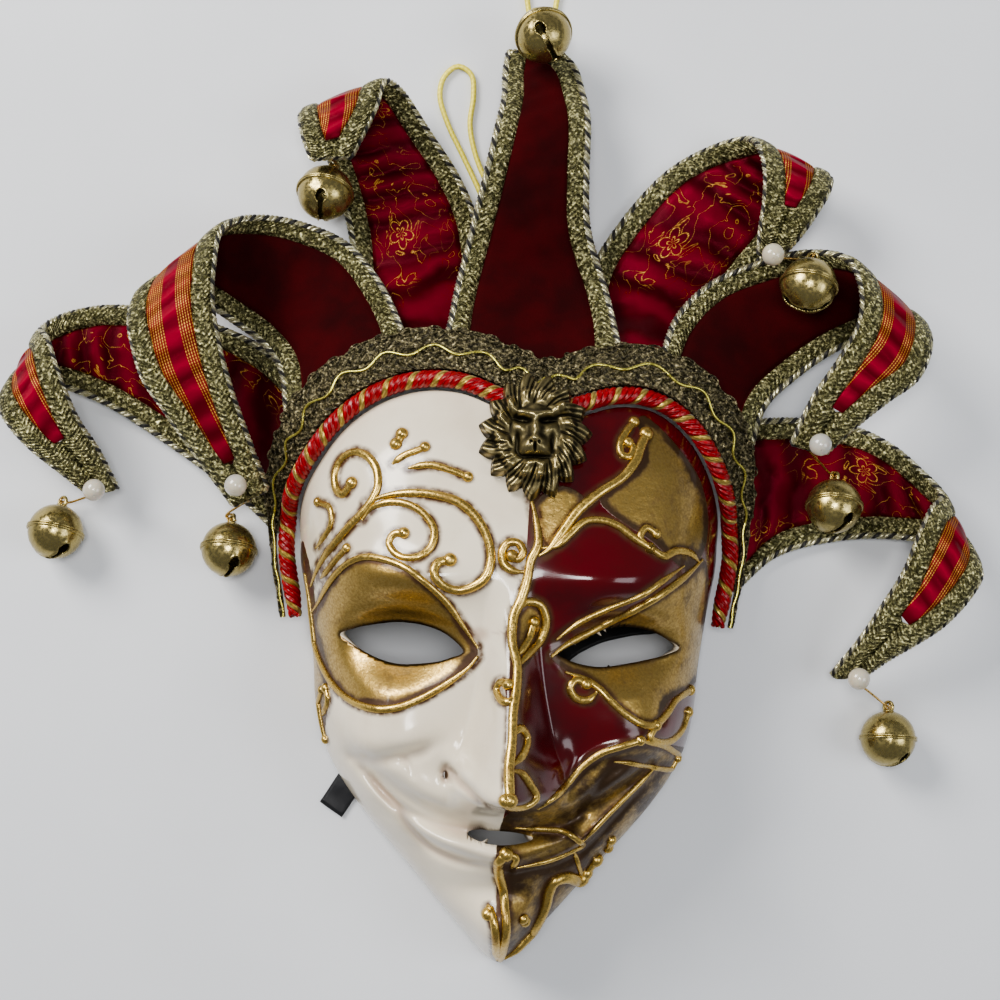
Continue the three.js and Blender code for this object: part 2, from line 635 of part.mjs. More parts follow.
function hornSurface(horn) {
  const [seamA, seamB] = horn.seam.map((angle) => besideEdge(THREE.MathUtils.degToRad(angle), SEAM_OFFSET));
  const root = new THREE.Vector2().addVectors(seamA, seamB).multiplyScalar(0.5);
  const edge = (start, xKey, yKey) =>
    new THREE.CatmullRomCurve3([
      new THREE.Vector3(start.x, start.y, 0),
      ...horn.rows.map((row) => new THREE.Vector3(row[xKey], row[yKey], row.lift).multiplyScalar(HORN_REACH)
        .add(new THREE.Vector3(root.x, root.y, 0))),
    ]);
  const edgeA = edge(seamA, 'ax', 'ay');
  const edgeB = edge(seamB, 'bx', 'by');
  const seamBulge = (across) => {
    const angle = THREE.MathUtils.degToRad(horn.seam[0] + (horn.seam[1] - horn.seam[0]) * across);
    return besideEdge(angle, SEAM_OFFSET).sub(seamA.clone().lerp(seamB, across));
  };
  const point = (along, across) => {
    const plan = edgeA.getPoint(along).lerp(edgeB.getPoint(along), across);
    const bulge = seamBulge(across).multiplyScalar(1 - smooth(0, 1.5 / horn.rows.length, along));
    plan.x += bulge.x;
    plan.y += bulge.y;
    const cloth = skirtHeight(plan.x, plan.y) + horn.layer * skirtSlope(plan.x, plan.y);
    plan.z += Math.max(cloth, BRAID_HALF + CLEARANCE);
    return plan;
  };
  const ahead = (along, across, step = SURFACE_STEP) =>
    point(Math.min(1, along + step), across).sub(point(Math.max(0, along - step), across));
  const crosswise = (along, across) =>
    point(along, Math.min(1, across + ACROSS_STEP)).sub(point(along, Math.max(0, across - ACROSS_STEP)));
  const normal = (along, across) => ahead(along, across).cross(crosswise(along, across)).normalize();
  const inset = (along, side, distance) => {
    const across = point(along, 1).sub(point(along, 0));
    const skew = ahead(along, side, TREND_STEP).normalize().cross(across.clone().normalize()).length();
    return distance / (across.length() * Math.max(0.5, skew));
  };
  const shares = (along, distance) => [inset(along, 0, distance), 1 - inset(along, 1, distance)];
  const open = (along) => {
    const [low, high] = shares(along, BRAID_WIDTH + BRAID_GAP);
    return high - low > MERGE_SHARE;
  };
  let merge = 1;
  while (!open(merge)) merge -= 0.01;
  return { point, normal, shares, merge, steps: Math.round(horn.rows.length * 1.4) };
}

function thickened(surface, grid, thickness, faces) {
  const offset = (distance) =>
    grid.map(([along, across]) =>
      surface.point(along, across).addScaledVector(surface.normal(along, across), distance),
    );
  return closedSheet(offset(thickness / 2), offset(-thickness / 2), faces);
}

function hornGeometry(surface) {
  const grid = [];
  const columns = 2;
  const endGap = (2 * CLEARANCE) / HORN_REACH / 1.8;
  for (let row = 0; row <= surface.steps; row++) {
    const along = Math.min((row / surface.steps) * surface.merge, surface.merge - endGap);
    const [low, high] = surface.shares(along, BRAID_WIDTH + BRAID_GAP);
    for (let column = 0; column <= columns; column++) {
      grid.push([along, low + ((high - low) * column) / columns]);
    }
  }
  const faces = [];
  for (let row = 0; row < surface.steps; row++) {
    for (let column = 0; column < columns; column++) {
      const corner = row * (columns + 1) + column;
      faces.push([corner, corner + columns + 1, corner + columns + 2, corner + 1]);
    }
  }
  return thickened(surface, grid, HORN_THICKNESS, faces);
}

function braidGeometry(surface) {
  const grid = [];
  const tipRows = 2;
  const rows = surface.steps + tipRows;
  for (let row = 0; row <= rows; row++) {
    const onTip = row > surface.steps;
    const share = onTip ? (row - surface.steps) / tipRows : row / surface.steps;
    const along = onTip ? surface.merge + (1 - surface.merge) * share : share * surface.merge;
    const [low, high] = onTip ? [0.36, 0.64] : surface.shares(along, BRAID_WIDTH);
    for (const across of [0, low, high, 1]) grid.push([along, across]);
  }
  const faces = [];
  for (let row = 0; row < rows; row++) {
    for (const column of row < surface.steps ? [0, 2] : [0, 1, 2]) {
      const corner = row * 4 + column;
      faces.push([corner, corner + 4, corner + 5, corner + 1]);
    }
  }
  return thickened(surface, grid, BRAID_THICKNESS, faces);
}

// Bells: place from the horn's end in bell radii, the direction from the bell to its shank, and the turn
// of the slot round that axis; a bell that rests lies on the surface under the mask
const BELLS = {
  left_low: { from: [-1.71, -1.53, 0], rests: true, axis: [0.13, 0.94, -0.31], turn: -46 },
  left_mid: { from: [-0.87, -1.92, 0], rests: true, axis: [0.04, 0.94, -0.34], turn: -63 },
  left_top: { from: [-0.3, -1.12, -1.1], rests: false, axis: [0.1, 0.85, -0.5], turn: 80 },
  center: { from: [0.29, 0.33, 1.67], rests: false, axis: [-0.23, 0.62, -0.75], turn: -80 },
  right_top: { from: [1.34, -1.11, 0.62], rests: false, axis: [0.17, 0.91, -0.38], turn: -20 },
  right_mid: { from: [1.15, -2.02, -1.25], rests: false, axis: [0.07, 0.91, -0.42], turn: -57 },
  right_low: { from: [1.49, -2.27, 0], rests: true, axis: [0.03, 0.98, -0.21], turn: -45 },
};

function bellCentre(surface, bell) {
  const centre = surface.point(1, 0.5).add(new THREE.Vector3(...bell.from).multiplyScalar(BELL_RADIUS));
  if (bell.rests) centre.z = BELL_RADIUS + BELL_SEAM;
  return centre;
}

// A hollow round bell about its own Z axis, shank at the top and sounding slot at the bottom
function bellGeometry() {
  const upright = new THREE.Euler(Math.PI / 2, 0, 0);
  const seamHalf = 0.6;
  const quarter = [90, 60, 30].map((degrees) => {
    const latitude = THREE.MathUtils.degToRad(degrees);
    return new THREE.Vector2(BELL_RADIUS * Math.cos(latitude), BELL_RADIUS * Math.sin(latitude));
  });
  quarter[0].x = 0;
  quarter.push(new THREE.Vector2(Math.sqrt(BELL_RADIUS ** 2 - seamHalf ** 2), seamHalf));
  quarter.push(new THREE.Vector2(BELL_RADIUS + BELL_SEAM, seamHalf));
  const mirrored = quarter.map((point) => new THREE.Vector2(point.x, -point.y));
  const outside = new THREE.LatheGeometry([...mirrored, ...quarter.reverse()], 10);
  const hollow = new THREE.SphereGeometry(BELL_RADIUS - BELL_WALL, 6, 4);
  const shank = new THREE.TorusGeometry(SHANK_RADIUS, SHANK_WIRE, 3, 6);
  const slot = new THREE.BoxGeometry(BELL_RADIUS * 1.3, BELL_SLOT, BELL_RADIUS);
  const hole = new THREE.CylinderGeometry(BELL_HOLE_RADIUS, BELL_HOLE_RADIUS, BELL_RADIUS, 5);
  const holeReach = BELL_RADIUS * 0.65;
  let bell = toSolid(outside, place(0, 0, 0, upright))
    .subtract(toSolid(hollow, place(0, 0, 0, upright)))
    .add(toSolid(shank, place(0, 0, BELL_RADIUS + SHANK_RADIUS - 0.2, upright)))
    .subtract(toSolid(slot, place(0, 0, -BELL_RADIUS * 0.9)));
  for (const side of [-1, 1]) {
    bell = bell.subtract(toSolid(hole, place(side * holeReach, 0, -BELL_RADIUS * 0.8, upright)));
  }
  return toGeometry(bell);
}

function bellTurn(bell) {
  const axis = new THREE.Vector3(...bell.axis).normalize();
  const lean = new THREE.Quaternion().setFromUnitVectors(new THREE.Vector3(0, 0, 1), axis);
  const roll = new THREE.Quaternion().setFromAxisAngle(
    new THREE.Vector3(0, 0, 1),
    THREE.MathUtils.degToRad(bell.turn),
  );
  return lean.multiply(roll);
}

// The wire runs from the horn's end past the shank and through its eye
function linkGeometry(surface, bell) {
  const turn = bellTurn(bell);
  const eye = new THREE.Vector3(0, 0, BELL_RADIUS + SHANK_RADIUS - 0.2);
  const centre = bellCentre(surface, bell);
  const local = (x, y, z) => new THREE.Vector3(x, y, z).add(eye).applyQuaternion(turn).add(centre);
  const end = surface.point(1, 0.5);
  const across = surface.point(1, 1).sub(surface.point(1, 0)).normalize();
  const outward = surface.normal(1, 0.5).cross(across);
  if (outward.dot(end.clone().sub(surface.point(0.97, 0.5))) < 0) outward.negate();
  const slant = outward.clone().cross(centre.clone().sub(end).normalize()).length();
  const start = end.clone().addScaledVector(outward, 2.75 * CLEARANCE + LINK_RADIUS * slant);
  const side = local(0, 1, 0).distanceTo(start) < local(0, -1, 0).distanceTo(start) ? 1 : -1;
  const path = new THREE.CatmullRomCurve3([
    start,
    start.clone().lerp(local(0, side * 3.4, 1.2), 0.5),
    local(0, side * 2.6, 0.6),
    local(0, 0, 0),
    local(0, -side * 1.6, -0.1),
  ]);
  return tubeAlong(path, LINK_RADIUS, 5, 5);
}

// Lion brooch: a cast head with two rings of mane locks, ears, brow, muzzle and chin on one base
function broochGeometry() {
  const half = BROOCH_WIDTH / 2;
  const stretch = BROOCH_HEIGHT / BROOCH_WIDTH;
  const ball = new THREE.SphereGeometry(1, 6, 4);
  const lock = new THREE.ConeGeometry(1, 2, 4);
  const scaled = (x, y, z) => new THREE.Vector3(x, y, z);
  const upright = new THREE.Euler(Math.PI / 2, 0, 0);
  const base = new THREE.CylinderGeometry(half * 0.78, half * 0.78, BROOCH_BASE, 12);
  let lion = toSolid(base, place(0, 0, BROOCH_BASE / 2, upright, scaled(1, 1, stretch)));
  const rings = [
    { count: 10, reach: 0.78, length: 5.2, width: 3.4, rise: 0.4, turn: 0 },
    { count: 6, reach: 0.56, length: 4.6, width: 3.2, rise: 1.3, turn: 0.5 },
  ];
  for (const ring of rings) {
    for (let count = 0; count < ring.count; count++) {
      const angle = ((count + ring.turn) / ring.count) * 2 * Math.PI + Math.PI / 2;
      const x = Math.cos(angle) * half * ring.reach;
      const y = Math.sin(angle) * half * ring.reach * stretch;
      const z = BROOCH_BASE * (0.55 + ring.rise);
      const turn = new THREE.Euler(0, 0, angle - Math.PI / 2);
      lion = lion.add(toSolid(lock, place(x, y, z, turn, scaled(ring.width, ring.length, 1.9))));
    }
  }
  const lumps = [
    { x: 0, y: 2, z: 3.2, width: 9.5, height: 11.5, depth: 5.4 },
    { x: 0, y: -5.5, z: 6.4, width: 4.8, height: 4.6, depth: 4.4 },
    { x: 0, y: -0.5, z: 7.2, width: 2.2, height: 6.5, depth: 3 },
    { x: -4.6, y: 4.6, z: 6.4, width: 3.6, height: 2, depth: 2.6 },
    { x: 4.6, y: 4.6, z: 6.4, width: 3.6, height: 2, depth: 2.6 },
    { x: -9.2, y: 8.6, z: 4, width: 2.8, height: 3.2, depth: 2.6 },
    { x: 9.2, y: 8.6, z: 4, width: 2.8, height: 3.2, depth: 2.6 },
    { x: 0, y: -11.5, z: 4, width: 4, height: 4.2, depth: 3.2 },
  ];
  const share = BROOCH_WIDTH / 38;
  for (const lump of lumps) {
    const size = scaled(lump.width * share, lump.height * share, lump.depth * share);
    const spot = place(lump.x * share, lump.y * share, lump.z * share, new THREE.Euler(), size);
    lion = lion.add(toSolid(ball, spot));
  }
  return toGeometry(lion);
}

// The elastic's ends go up into the shell behind the brooch; the route is chosen by hand
const HANG_CORD_ROUTE = [
  [5, 68, 48], [3, 80, 36], [0, 96, 20], [-3, 116, 6], [-5, 134, 1.4], [-8, 152, 1.3], [-14, 166, 1.3],
  [-20, 178, 1.3], [-26, 190, 1.3], [-29, 200, 1.3], [-27.5, 207, 1.3], [-22.5, 211, 1.3], [-17.5, 208, 1.3],
  [-16.5, 200, 1.3], [-17.5, 189, 1.3], [-14, 175, 1.3], [-7, 163, 1.3], [0, 160, 1.3], [5, 166, 1.3],
  [6.5, 180, 1.3], [6, 200, 1.3], [5, 220, 1.3], [2, 240, 1.3], [0, 256, 1.3], [3, 266, 1.3], [10, 269, 1.3],
  [16, 264, 1.3], [17, 252, 1.3], [13.5, 236, 1.3], [12, 216, 1.3], [12.5, 196, 1.3], [14, 172, 1.3],
  [14, 150, 1.3], [13.5, 132, 1.6], [13, 114, 6], [13, 96, 20], [13, 80, 36], [12, 68, 48],
];

// Ties lie loose under the shell: the middle line of each ribbon as laid, chosen by hand, with its place
// across as a share of the face's half width
const TIE_ROUTES = {
  tie_left: [
    { out: -0.8052, y: 14, z: 1 },
    { out: -0.7273, y: 24, z: 0.9 },
    { out: -0.5714, y: 30, z: 0.9 },
    { out: -0.3377, y: 28, z: 0.9 },
    { out: -0.1299, y: 20, z: 0.9 },
    { out: -0.0519, y: 6, z: 0.9 },
    { out: -0.0519, y: -10, z: 0.9 },
    { out: -0.1039, y: -24, z: 0.9 },
    { out: -0.2597, y: -33, z: 0.9 },
    { out: -0.4675, y: -38, z: 0.9 },
    { out: -0.6753, y: -50, z: 0.9 },
    { out: -0.8182, y: -66, z: 0.9 },
  ],
  tie_right: [
    { out: 0.8805, y: 15, z: 1 },
    { out: 0.7532, y: 8, z: 0.9 },
    { out: 0.5974, y: 6, z: 0.9 },
    { out: 0.4156, y: 2, z: 0.9 },
    { out: 0.2597, y: -6, z: 0.9 },
    { out: 0.1818, y: -18, z: 0.9 },
    { out: 0.2597, y: -30, z: 0.9 },
    { out: 0.4156, y: -36, z: 0.9 },
    { out: 0.5455, y: -30, z: 0.9 },
    { out: 0.5714, y: -20, z: 0.9 },
    { out: 0.4675, y: -14, z: 0.9 },
  ],
};

function tieGeometry(route) {
  const points = route.map((row) => new THREE.Vector3(row.out * FACE_HALF_WIDTH, row.y, row.z));
  const path = new THREE.CatmullRomCurve3(points);
  const steps = 12;
  const grid = [];
  for (let step = 0; step <= steps; step++) {
    const point = path.getPoint(step / steps);
    const tangent = path.getTangent(step / steps);
    const side = new THREE.Vector3(-tangent.y, tangent.x, 0).normalize();
    for (const share of [-0.5, 0.5]) grid.push(point.clone().addScaledVector(side, share * TIE_WIDTH));
  }
  const faces = [];
  for (let step = 0; step < steps; step++) {
    const corner = step * 2;
    faces.push([corner, corner + 2, corner + 3, corner + 1]);
  }
  const shifted = (height) => grid.map((point) => new THREE.Vector3(point.x, point.y, point.z + height));
  return closedSheet(shifted(TIE_THICKNESS / 2), shifted(-TIE_THICKNESS / 2), faces);
}

addPiece('mask_shell', shellGeometry(), FINISH.enamel);
addPiece('rim_cord', rimCordGeometry(), FINISH.cord);
addPiece('lace_band', laceGeometry(), FINISH.braid);

const bellBody = bellGeometry();
for (const horn of HORNS) {
  const surface = hornSurface(horn);
  addPiece(`horn_${horn.name}`, hornGeometry(surface), horn.finish);
  addPiece(`braid_${horn.name}`, braidGeometry(surface), FINISH.braid);

  const bell = BELLS[horn.name];
  const bellMesh = addPiece(`bell_${horn.name}`, bellBody, FINISH.brass);
  bellMesh.position.copy(bellCentre(surface, bell));
  bellMesh.quaternion.copy(bellTurn(bell));
  addPiece(`link_${horn.name}`, linkGeometry(surface, bell), FINISH.brass);

  if (!horn.pearl) continue;
  const seat = surface.point(0.97, 0.5);
  const up = surface.normal(0.97, 0.5);
  if (up.z < 0) up.negate();
  const pearl = addPiece(`pearl_${horn.name}`, new THREE.SphereGeometry(PEARL_RADIUS, 8, 5), FINISH.pearl);
  pearl.position.copy(seat.addScaledVector(up, BRAID_HALF + 1.8 * CLEARANCE + PEARL_RADIUS));
}

const dipAngle = Math.atan2(DIP_ROW.up * CROWN_RISE, DIP_ROW.out * FACE_HALF_WIDTH);
const cordAtDip = cordCentre(dipAngle);
const broochSlope = THREE.MathUtils.degToRad(BROOCH_TILT);
const brooch = addPiece('brooch_lion', broochGeometry(), FINISH.bronze);
brooch.rotation.x = -broochSlope;
brooch.position.set(
  BROOCH_X,
  BROOCH_Y,
  cordAtDip.z + CORD_RADIUS + CLEARANCE + (cordAtDip.y - BROOCH_Y) * Math.tan(broochSlope),
);

const hangPath = new THREE.CatmullRomCurve3(HANG_CORD_ROUTE.map((point) => new THREE.Vector3(...point)));
addPiece('hang_cord', tubeAlong(hangPath, HANG_CORD_RADIUS, 8, 58), FINISH.elastic);
for (const [name, route] of Object.entries(TIE_ROUTES)) addPiece(name, tieGeometry(route), FINISH.ribbon);

// The origin is the middle of the resting face, measured without the free elastic
const extent = new THREE.Box3();
for (const mesh of assembly.children) {
  if (mesh.name !== 'hang_cord') extent.expandByObject(mesh, true);
}
const centre = extent.getCenter(new THREE.Vector3());
assembly.position.set(-centre.x, -centre.y, -extent.min.z);

export default assembly;
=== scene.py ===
import math

import bpy
import numpy as np
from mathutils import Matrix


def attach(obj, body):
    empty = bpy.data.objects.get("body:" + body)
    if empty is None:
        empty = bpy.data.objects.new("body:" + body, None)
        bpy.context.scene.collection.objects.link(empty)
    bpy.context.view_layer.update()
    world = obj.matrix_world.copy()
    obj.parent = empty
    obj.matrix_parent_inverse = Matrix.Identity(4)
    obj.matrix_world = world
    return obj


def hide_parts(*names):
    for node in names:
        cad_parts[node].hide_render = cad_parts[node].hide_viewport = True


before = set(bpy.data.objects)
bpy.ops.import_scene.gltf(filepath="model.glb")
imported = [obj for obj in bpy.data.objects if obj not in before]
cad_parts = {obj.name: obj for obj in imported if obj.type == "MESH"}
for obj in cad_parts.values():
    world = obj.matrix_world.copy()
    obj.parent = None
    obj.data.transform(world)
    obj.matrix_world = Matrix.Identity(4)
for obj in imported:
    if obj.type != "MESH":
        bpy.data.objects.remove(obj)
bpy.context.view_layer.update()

SHIFT = np.array([6.4297, -53.956, 0.0])

# Camera straight above the mask as it lies
CAMERA = np.array([-2.97, 50.37, 700.0])
FOCAL = 1882.0
ROLL = math.radians(1.41)
camera_data = bpy.data.cameras.new("camera")
camera_data.sensor_width = 36
camera_data.lens = 36 * FOCAL / 1000
camera = bpy.data.objects.new("camera", camera_data)
camera.location = (CAMERA + SHIFT) / 1000
camera.rotation_euler = (0, 0, ROLL)
bpy.context.scene.collection.objects.link(camera)
bpy.context.scene.camera = camera

# Face sizes in millimetres, as in the solid model
FACE_HALF_WIDTH, CHIN_DROP, CROWN_RISE, FACE_DEPTH = 77, 110, 97, 66
CHEEK_ARCH, NOSE_LENGTH, NOSE_RISE, NOSE_HALF_WIDTH = 2.4, 62, 31, 21
EYE_SPACING, EYE_HALF_LENGTH, EYE_HALF_HEIGHT = 76, 21, 6.6
MOUTH_LENGTH, MOUTH_HEIGHT, MOUTH_DROP = 23, 4.6, 55
SHELL_WALL, CLEARANCE, CORD_RADIUS = 3, 0.3, 3.15
LACE_THICKNESS, LACE_WIDTH, LACE_END_WIDTH, SCALLOP_COUNT = 1.2, 14, 3, 22
HORN_REACH, BRAID_WIDTH, BRAID_THICKNESS = 100, 7, 4.4
SKIRT_FALL, LACE_GAP, LAYER_GAP, BRAID_GAP = 62, 0.7, 1.2, 0.6
BELL_RADIUS, SHANK_RISE, PEARL_RADIUS = 10, 1.6, 4
SLOT_REACH, SLOT_HALF_WIDTH, SLOT_END_RADIUS = 0.68, 0.8, 1.75
TIE_HALF_WIDTH, ROPE_PITCH = 5, 9.4
FACE_X, FACE_Y, NOSE_ROOT_Y, FEATURE_X = 0.5, -10, 15, 2
BRAID_HALF = BRAID_THICKNESS / 2
FRONT_LAYER = -(LACE_THICKNESS / 2 + LACE_GAP + BRAID_HALF)
BACK_LAYER = FRONT_LAYER - BRAID_THICKNESS - LAYER_GAP
SKIRT_REST = -BACK_LAYER + BRAID_HALF + CLEARANCE
CORD_OFFSET = CORD_RADIUS + 0.9
SEAM_OFFSET = CORD_OFFSET + CORD_RADIUS + 1

JAW_ROWS = [
    (1, 0), (0.975, 0.065), (0.93, 0.125), (0.82, 0.266), (0.655, 0.468), (0.545, 0.604), (0.436, 0.727),
    (0.336, 0.818), (0.255, 0.87), (0.127, 0.909), (0, 0.922), (-0.23, 0.961), (-0.38, 0.994), (-0.47, 1),
]
ARCH_ROWS = [
    (0.968, 0.619), (0.89, 0.765), (0.78, 0.882), (0.636, 0.955), (0.48, 0.965), (0.3, 0.925), (0.13, 0.897),
    (-0.052, 0.945), (-0.234, 1), (-0.42, 1.005), (-0.6, 0.959), (-0.753, 0.871), (-0.88, 0.742), (-0.968, 0.619),
]
HEAD_ROWS = [
    (1.006, 0.619), (0.987, 0.784), (0.883, 1.03), (0.623, 1.258), (0.26, 1.38),
    (-0.26, 1.38), (-0.623, 1.258), (-0.883, 1.03), (-0.987, 0.784), (-1.006, 0.619),
]
PROFILE_ROWS = np.array([
    (-1, 0.92), (-0.82, 0.92), (-0.68, 0.84), (-0.6, 0.84), (-0.49, 0.91), (-0.36, 0.95), (0.1, 0.97),
    (0.41, 1.03), (0.72, 1), (1.03, 0.92), (1.4, 0.85),
])


def smooth(low, high, value):
    share = np.clip((value - low) / (high - low), 0, 1)
    return share * share * (3 - 2 * share)


def lump(x, y, half_x, half_y):
    return np.exp(-(x * x) / (half_x * half_x) - (y * y) / (half_y * half_y))


def unit(vectors):
    return vectors / np.maximum(1e-9, np.linalg.norm(vectors, axis=-1, keepdims=True))


def curve_at(points, share, closed=False):
    """Centripetal Catmull-Rom curve through points, at shares 0 to 1."""
    points = np.asarray(points, float)
    count = len(points)
    share = np.atleast_1d(np.asarray(share, float))
    place = share * (count if closed else count - 1)
    first = np.floor(place).astype(int)
    if not closed:
        first = np.clip(first, 0, count - 2)
    weight = (place - first)[:, None]
    if closed:
        p0, p1, p2, p3 = (points[(first + k) % count] for k in (-1, 0, 1, 2))
    else:
        ends = np.vstack([2 * points[0] - points[1], points, 2 * points[-1] - points[-2]])
        p0, p1, p2, p3 = (ends[first + k] for k in range(4))
    gaps = [np.sqrt(np.linalg.norm(b - a, axis=1))[:, None] for a, b in ((p0, p1), (p1, p2), (p2, p3))]
    d1 = np.where(gaps[1] < 1e-4, 1, gaps[1])
    d0 = np.where(gaps[0] < 1e-4, d1, gaps[0])
    d2 = np.where(gaps[2] < 1e-4, d1, gaps[2])
    t1 = ((p1 - p0) / d0 - (p2 - p0) / (d0 + d1) + (p2 - p1) / d1) * d1
    t2 = ((p2 - p1) / d1 - (p3 - p1) / (d1 + d2) + (p3 - p2) / d2) * d1
    c2 = -3 * p1 + 3 * p2 - 2 * t1 - t2
    c3 = 2 * p1 - 2 * p2 + t1 + t2
    return p1 + t1 * weight + c2 * weight**2 + c3 * weight**3


def even(points, step, closed=False):
    """Points at an even step along a curve through the given ones."""
    fine = curve_at(points, np.linspace(0, 1, 60 * len(points)), closed)
    run = np.concatenate([[0], np.cumsum(np.linalg.norm(np.diff(fine, axis=0), axis=1))])
    count = max(2, int(round(run[-1] / step)) + 1)
    marks = np.linspace(0, run[-1], count)
    return np.stack([np.interp(marks, run, fine[:, k]) for k in range(fine.shape[1])], axis=1)


def outline(upper):
    right = [(out * FACE_HALF_WIDTH, -down * (CHIN_DROP if down > 0 else CROWN_RISE)) for down, out in JAW_ROWS]
    top = [(out * FACE_HALF_WIDTH, up * CROWN_RISE) for out, up in upper]
    left = [(-x, y) for x, y in right[1:]][::-1]
    ring = curve_at(right + top + left, np.arange(721) / 720, closed=True)
    angles = np.arctan2(ring[:, 1], ring[:, 0])
    order = np.argsort(angles)
    angles, radii = angles[order], np.hypot(ring[:, 0], ring[:, 1])[order]
    return lambda angle: np.interp(np.arctan2(np.sin(angle), np.cos(angle)), angles, radii)


edge_radius = outline(ARCH_ROWS)
head_radius = outline(HEAD_ROWS)


def profile_height(dy):
    along = np.where(dy < 0, dy / CHIN_DROP, dy / CROWN_RISE)
    after = np.clip(np.searchsorted(PROFILE_ROWS[:, 0], along), 1, len(PROFILE_ROWS) - 1)
    low, high = PROFILE_ROWS[after - 1], PROFILE_ROWS[after]
    share = smooth(low[..., 0], high[..., 0], along)
    return FACE_DEPTH * (low[..., 1] + (high[..., 1] - low[..., 1]) * share)


def smile_y(x):
    return FACE_Y - MOUTH_DROP + 22 * np.power(np.abs(x - 1) / 50, 1.7)


def nose_height(x, y):
    along = (NOSE_ROOT_Y - y) / NOSE_LENGTH
    held = np.clip(along, 0, 1)
    rise = NOSE_RISE * (0.16 + 0.84 * held**1.25) * smooth(-0.25, 0.12, along)
    half = NOSE_HALF_WIDTH * (0.46 + 0.54 * held**2)
    across = np.minimum(1, np.abs(x - FEATURE_X) / half)
    underside = 1 - smooth(1, 1.18, along)
    wing = 6 * lump(np.abs(x - FEATURE_X) - 0.78 * NOSE_HALF_WIDTH, along - 0.9, 4.5, 0.13)
    return (rise * (1 - across * across) ** 1.6 + wing) * underside


def feature_height(x, y, fine):
    side = np.abs(x - FEATURE_X)
    eye_x = side - EYE_SPACING / 2
    socket = np.maximum(0, 1 - (eye_x / 27) ** 2 - ((y - 2) / 19) ** 2)
    fold = y - smile_y(x)
    fold_end = 1 - smooth(46, 60, side)
    height = (
        nose_height(x, y)
        - 11 * socket * socket
        + 4.5 * lump(side - 34, y - 24, 22, 7)
        + 6 * lump(side - 46, y + 28, 15, 13)
        - 3.6 * lump(fold, 0, 4.4, 1) * fold_end
        + 3.5 * lump(fold - 8, side - 32, 6, 18)
        + 4.5 * lump(fold + 8, x, 5, 26)
        - 3 * lump(y + 86, x, 6, 15)
        + 5 * lump(y + 103, x, 9, 9)
    )
    if fine:
        height += 1.2 * lump(y - 13 + 0.012 * eye_x**2, eye_x, 2.2, 24) + 2.4 * lump(x - FEATURE_X, y + 24, 4.2, 26)
    return height


# Folds of the face by places in the photograph: depth, half width, and the share of depth left at each end
FOLDS = [
    (3.6, 2.0, 0.2, 1.0, [(352, 760), (365, 773), (387, 797), (413, 815), (437, 827), (463, 832),
          (480, 831)]),
    (3.0, 2.1, 0.2, 0.6, [(364, 770), (375, 783), (397, 810), (413, 832), (433, 850), (462, 862),
          (493, 867)]),
    (-2.4, 3.2, 0.2, 0.5, [(372, 772), (392, 796), (416, 818), (440, 836), (465, 845), (495, 852)]),
    (2.2, 2.8, 0.5, 0.2, [(350, 756), (372, 760), (398, 757), (425, 750), (445, 743)]),
    (-1.8, 5.0, 0.3, 0.3, [(345, 735), (370, 742), (400, 742), (430, 732)]),
    (0.9, 1.2, 0.2, 0.6, [(398, 756), (408, 764), (413, 776)]),
    (4.0, 1.8, 0.7, 1.0, [(447, 768), (458, 780), (476, 798), (490, 808), (504, 812)]),
    (-1.8, 3.2, 0.3, 0.6, [(440, 752), (455, 762), (470, 778), (486, 793), (500, 799)]),
    (2.6, 1.9, 1.0, 1.0, [(445, 774), (446, 779)]),
    (2.2, 2.4, 0.3, 1.0, [(640, 758), (610, 776), (590, 798), (577, 818), (560, 831), (535, 832)]),
    (3.0, 2.8, 0.3, 0.8, [(664, 768), (640, 790), (616, 816), (596, 838), (576, 856), (548, 868),
          (510, 872)]),
    (-2.4, 1.8, 0.6, 0.8, [(656, 768), (630, 793), (606, 817), (582, 840), (566, 850), (545, 860),
          (516, 870)]),
    (-2.0, 2.2, 0.7, 0.6, [(640, 741), (602, 752), (582, 766), (566, 784), (552, 800), (538, 808)]),
    (1.6, 3.6, 0.6, 0.6, [(612, 764), (640, 765), (668, 768)]),
    (-1.6, 1.6, 0.8, 0.8, [(514, 826), (540, 828), (564, 831), (580, 838)]),
    (1.8, 4.0, 0.4, 0.7, [(590, 866), (572, 872), (552, 880), (542, 896), (530, 920), (514, 945)]),
    (-1.1, 3.0, 0.4, 0.4, [(524, 880), (532, 892), (528, 910), (518, 928)]),
]
fold_lines = []


def near_box(x, y, line, margin):
    """Whether points lie in the box round a line, with a margin."""
    low, high = line.min(axis=0) - margin, line.max(axis=0) + margin
    return (x > low[0]) & (x < high[0]) & (y > low[1]) & (y < high[1])


def folds(x, y):
    """Height added by the folds, which run along smooth lines."""
    total = np.zeros(np.shape(x))
    for depth, half, first, last, line in fold_lines:
        near = near_box(x, y, line, 3 * half)
        if not near.any():
            continue
        gaps = np.hypot(x[near][:, None] - line[None, :, 0], y[near][:, None] - line[None, :, 1])
        nearest = gaps.argmin(axis=1)
        along = nearest / (len(line) - 1)
        ends = (first + (1 - first) * smooth(0, 0.3, along)) * (last + (1 - last) * smooth(0, 0.3, 1 - along))
        total[near] -= depth * ends * np.exp(-((gaps.min(axis=1) / half) ** 2))
    return total


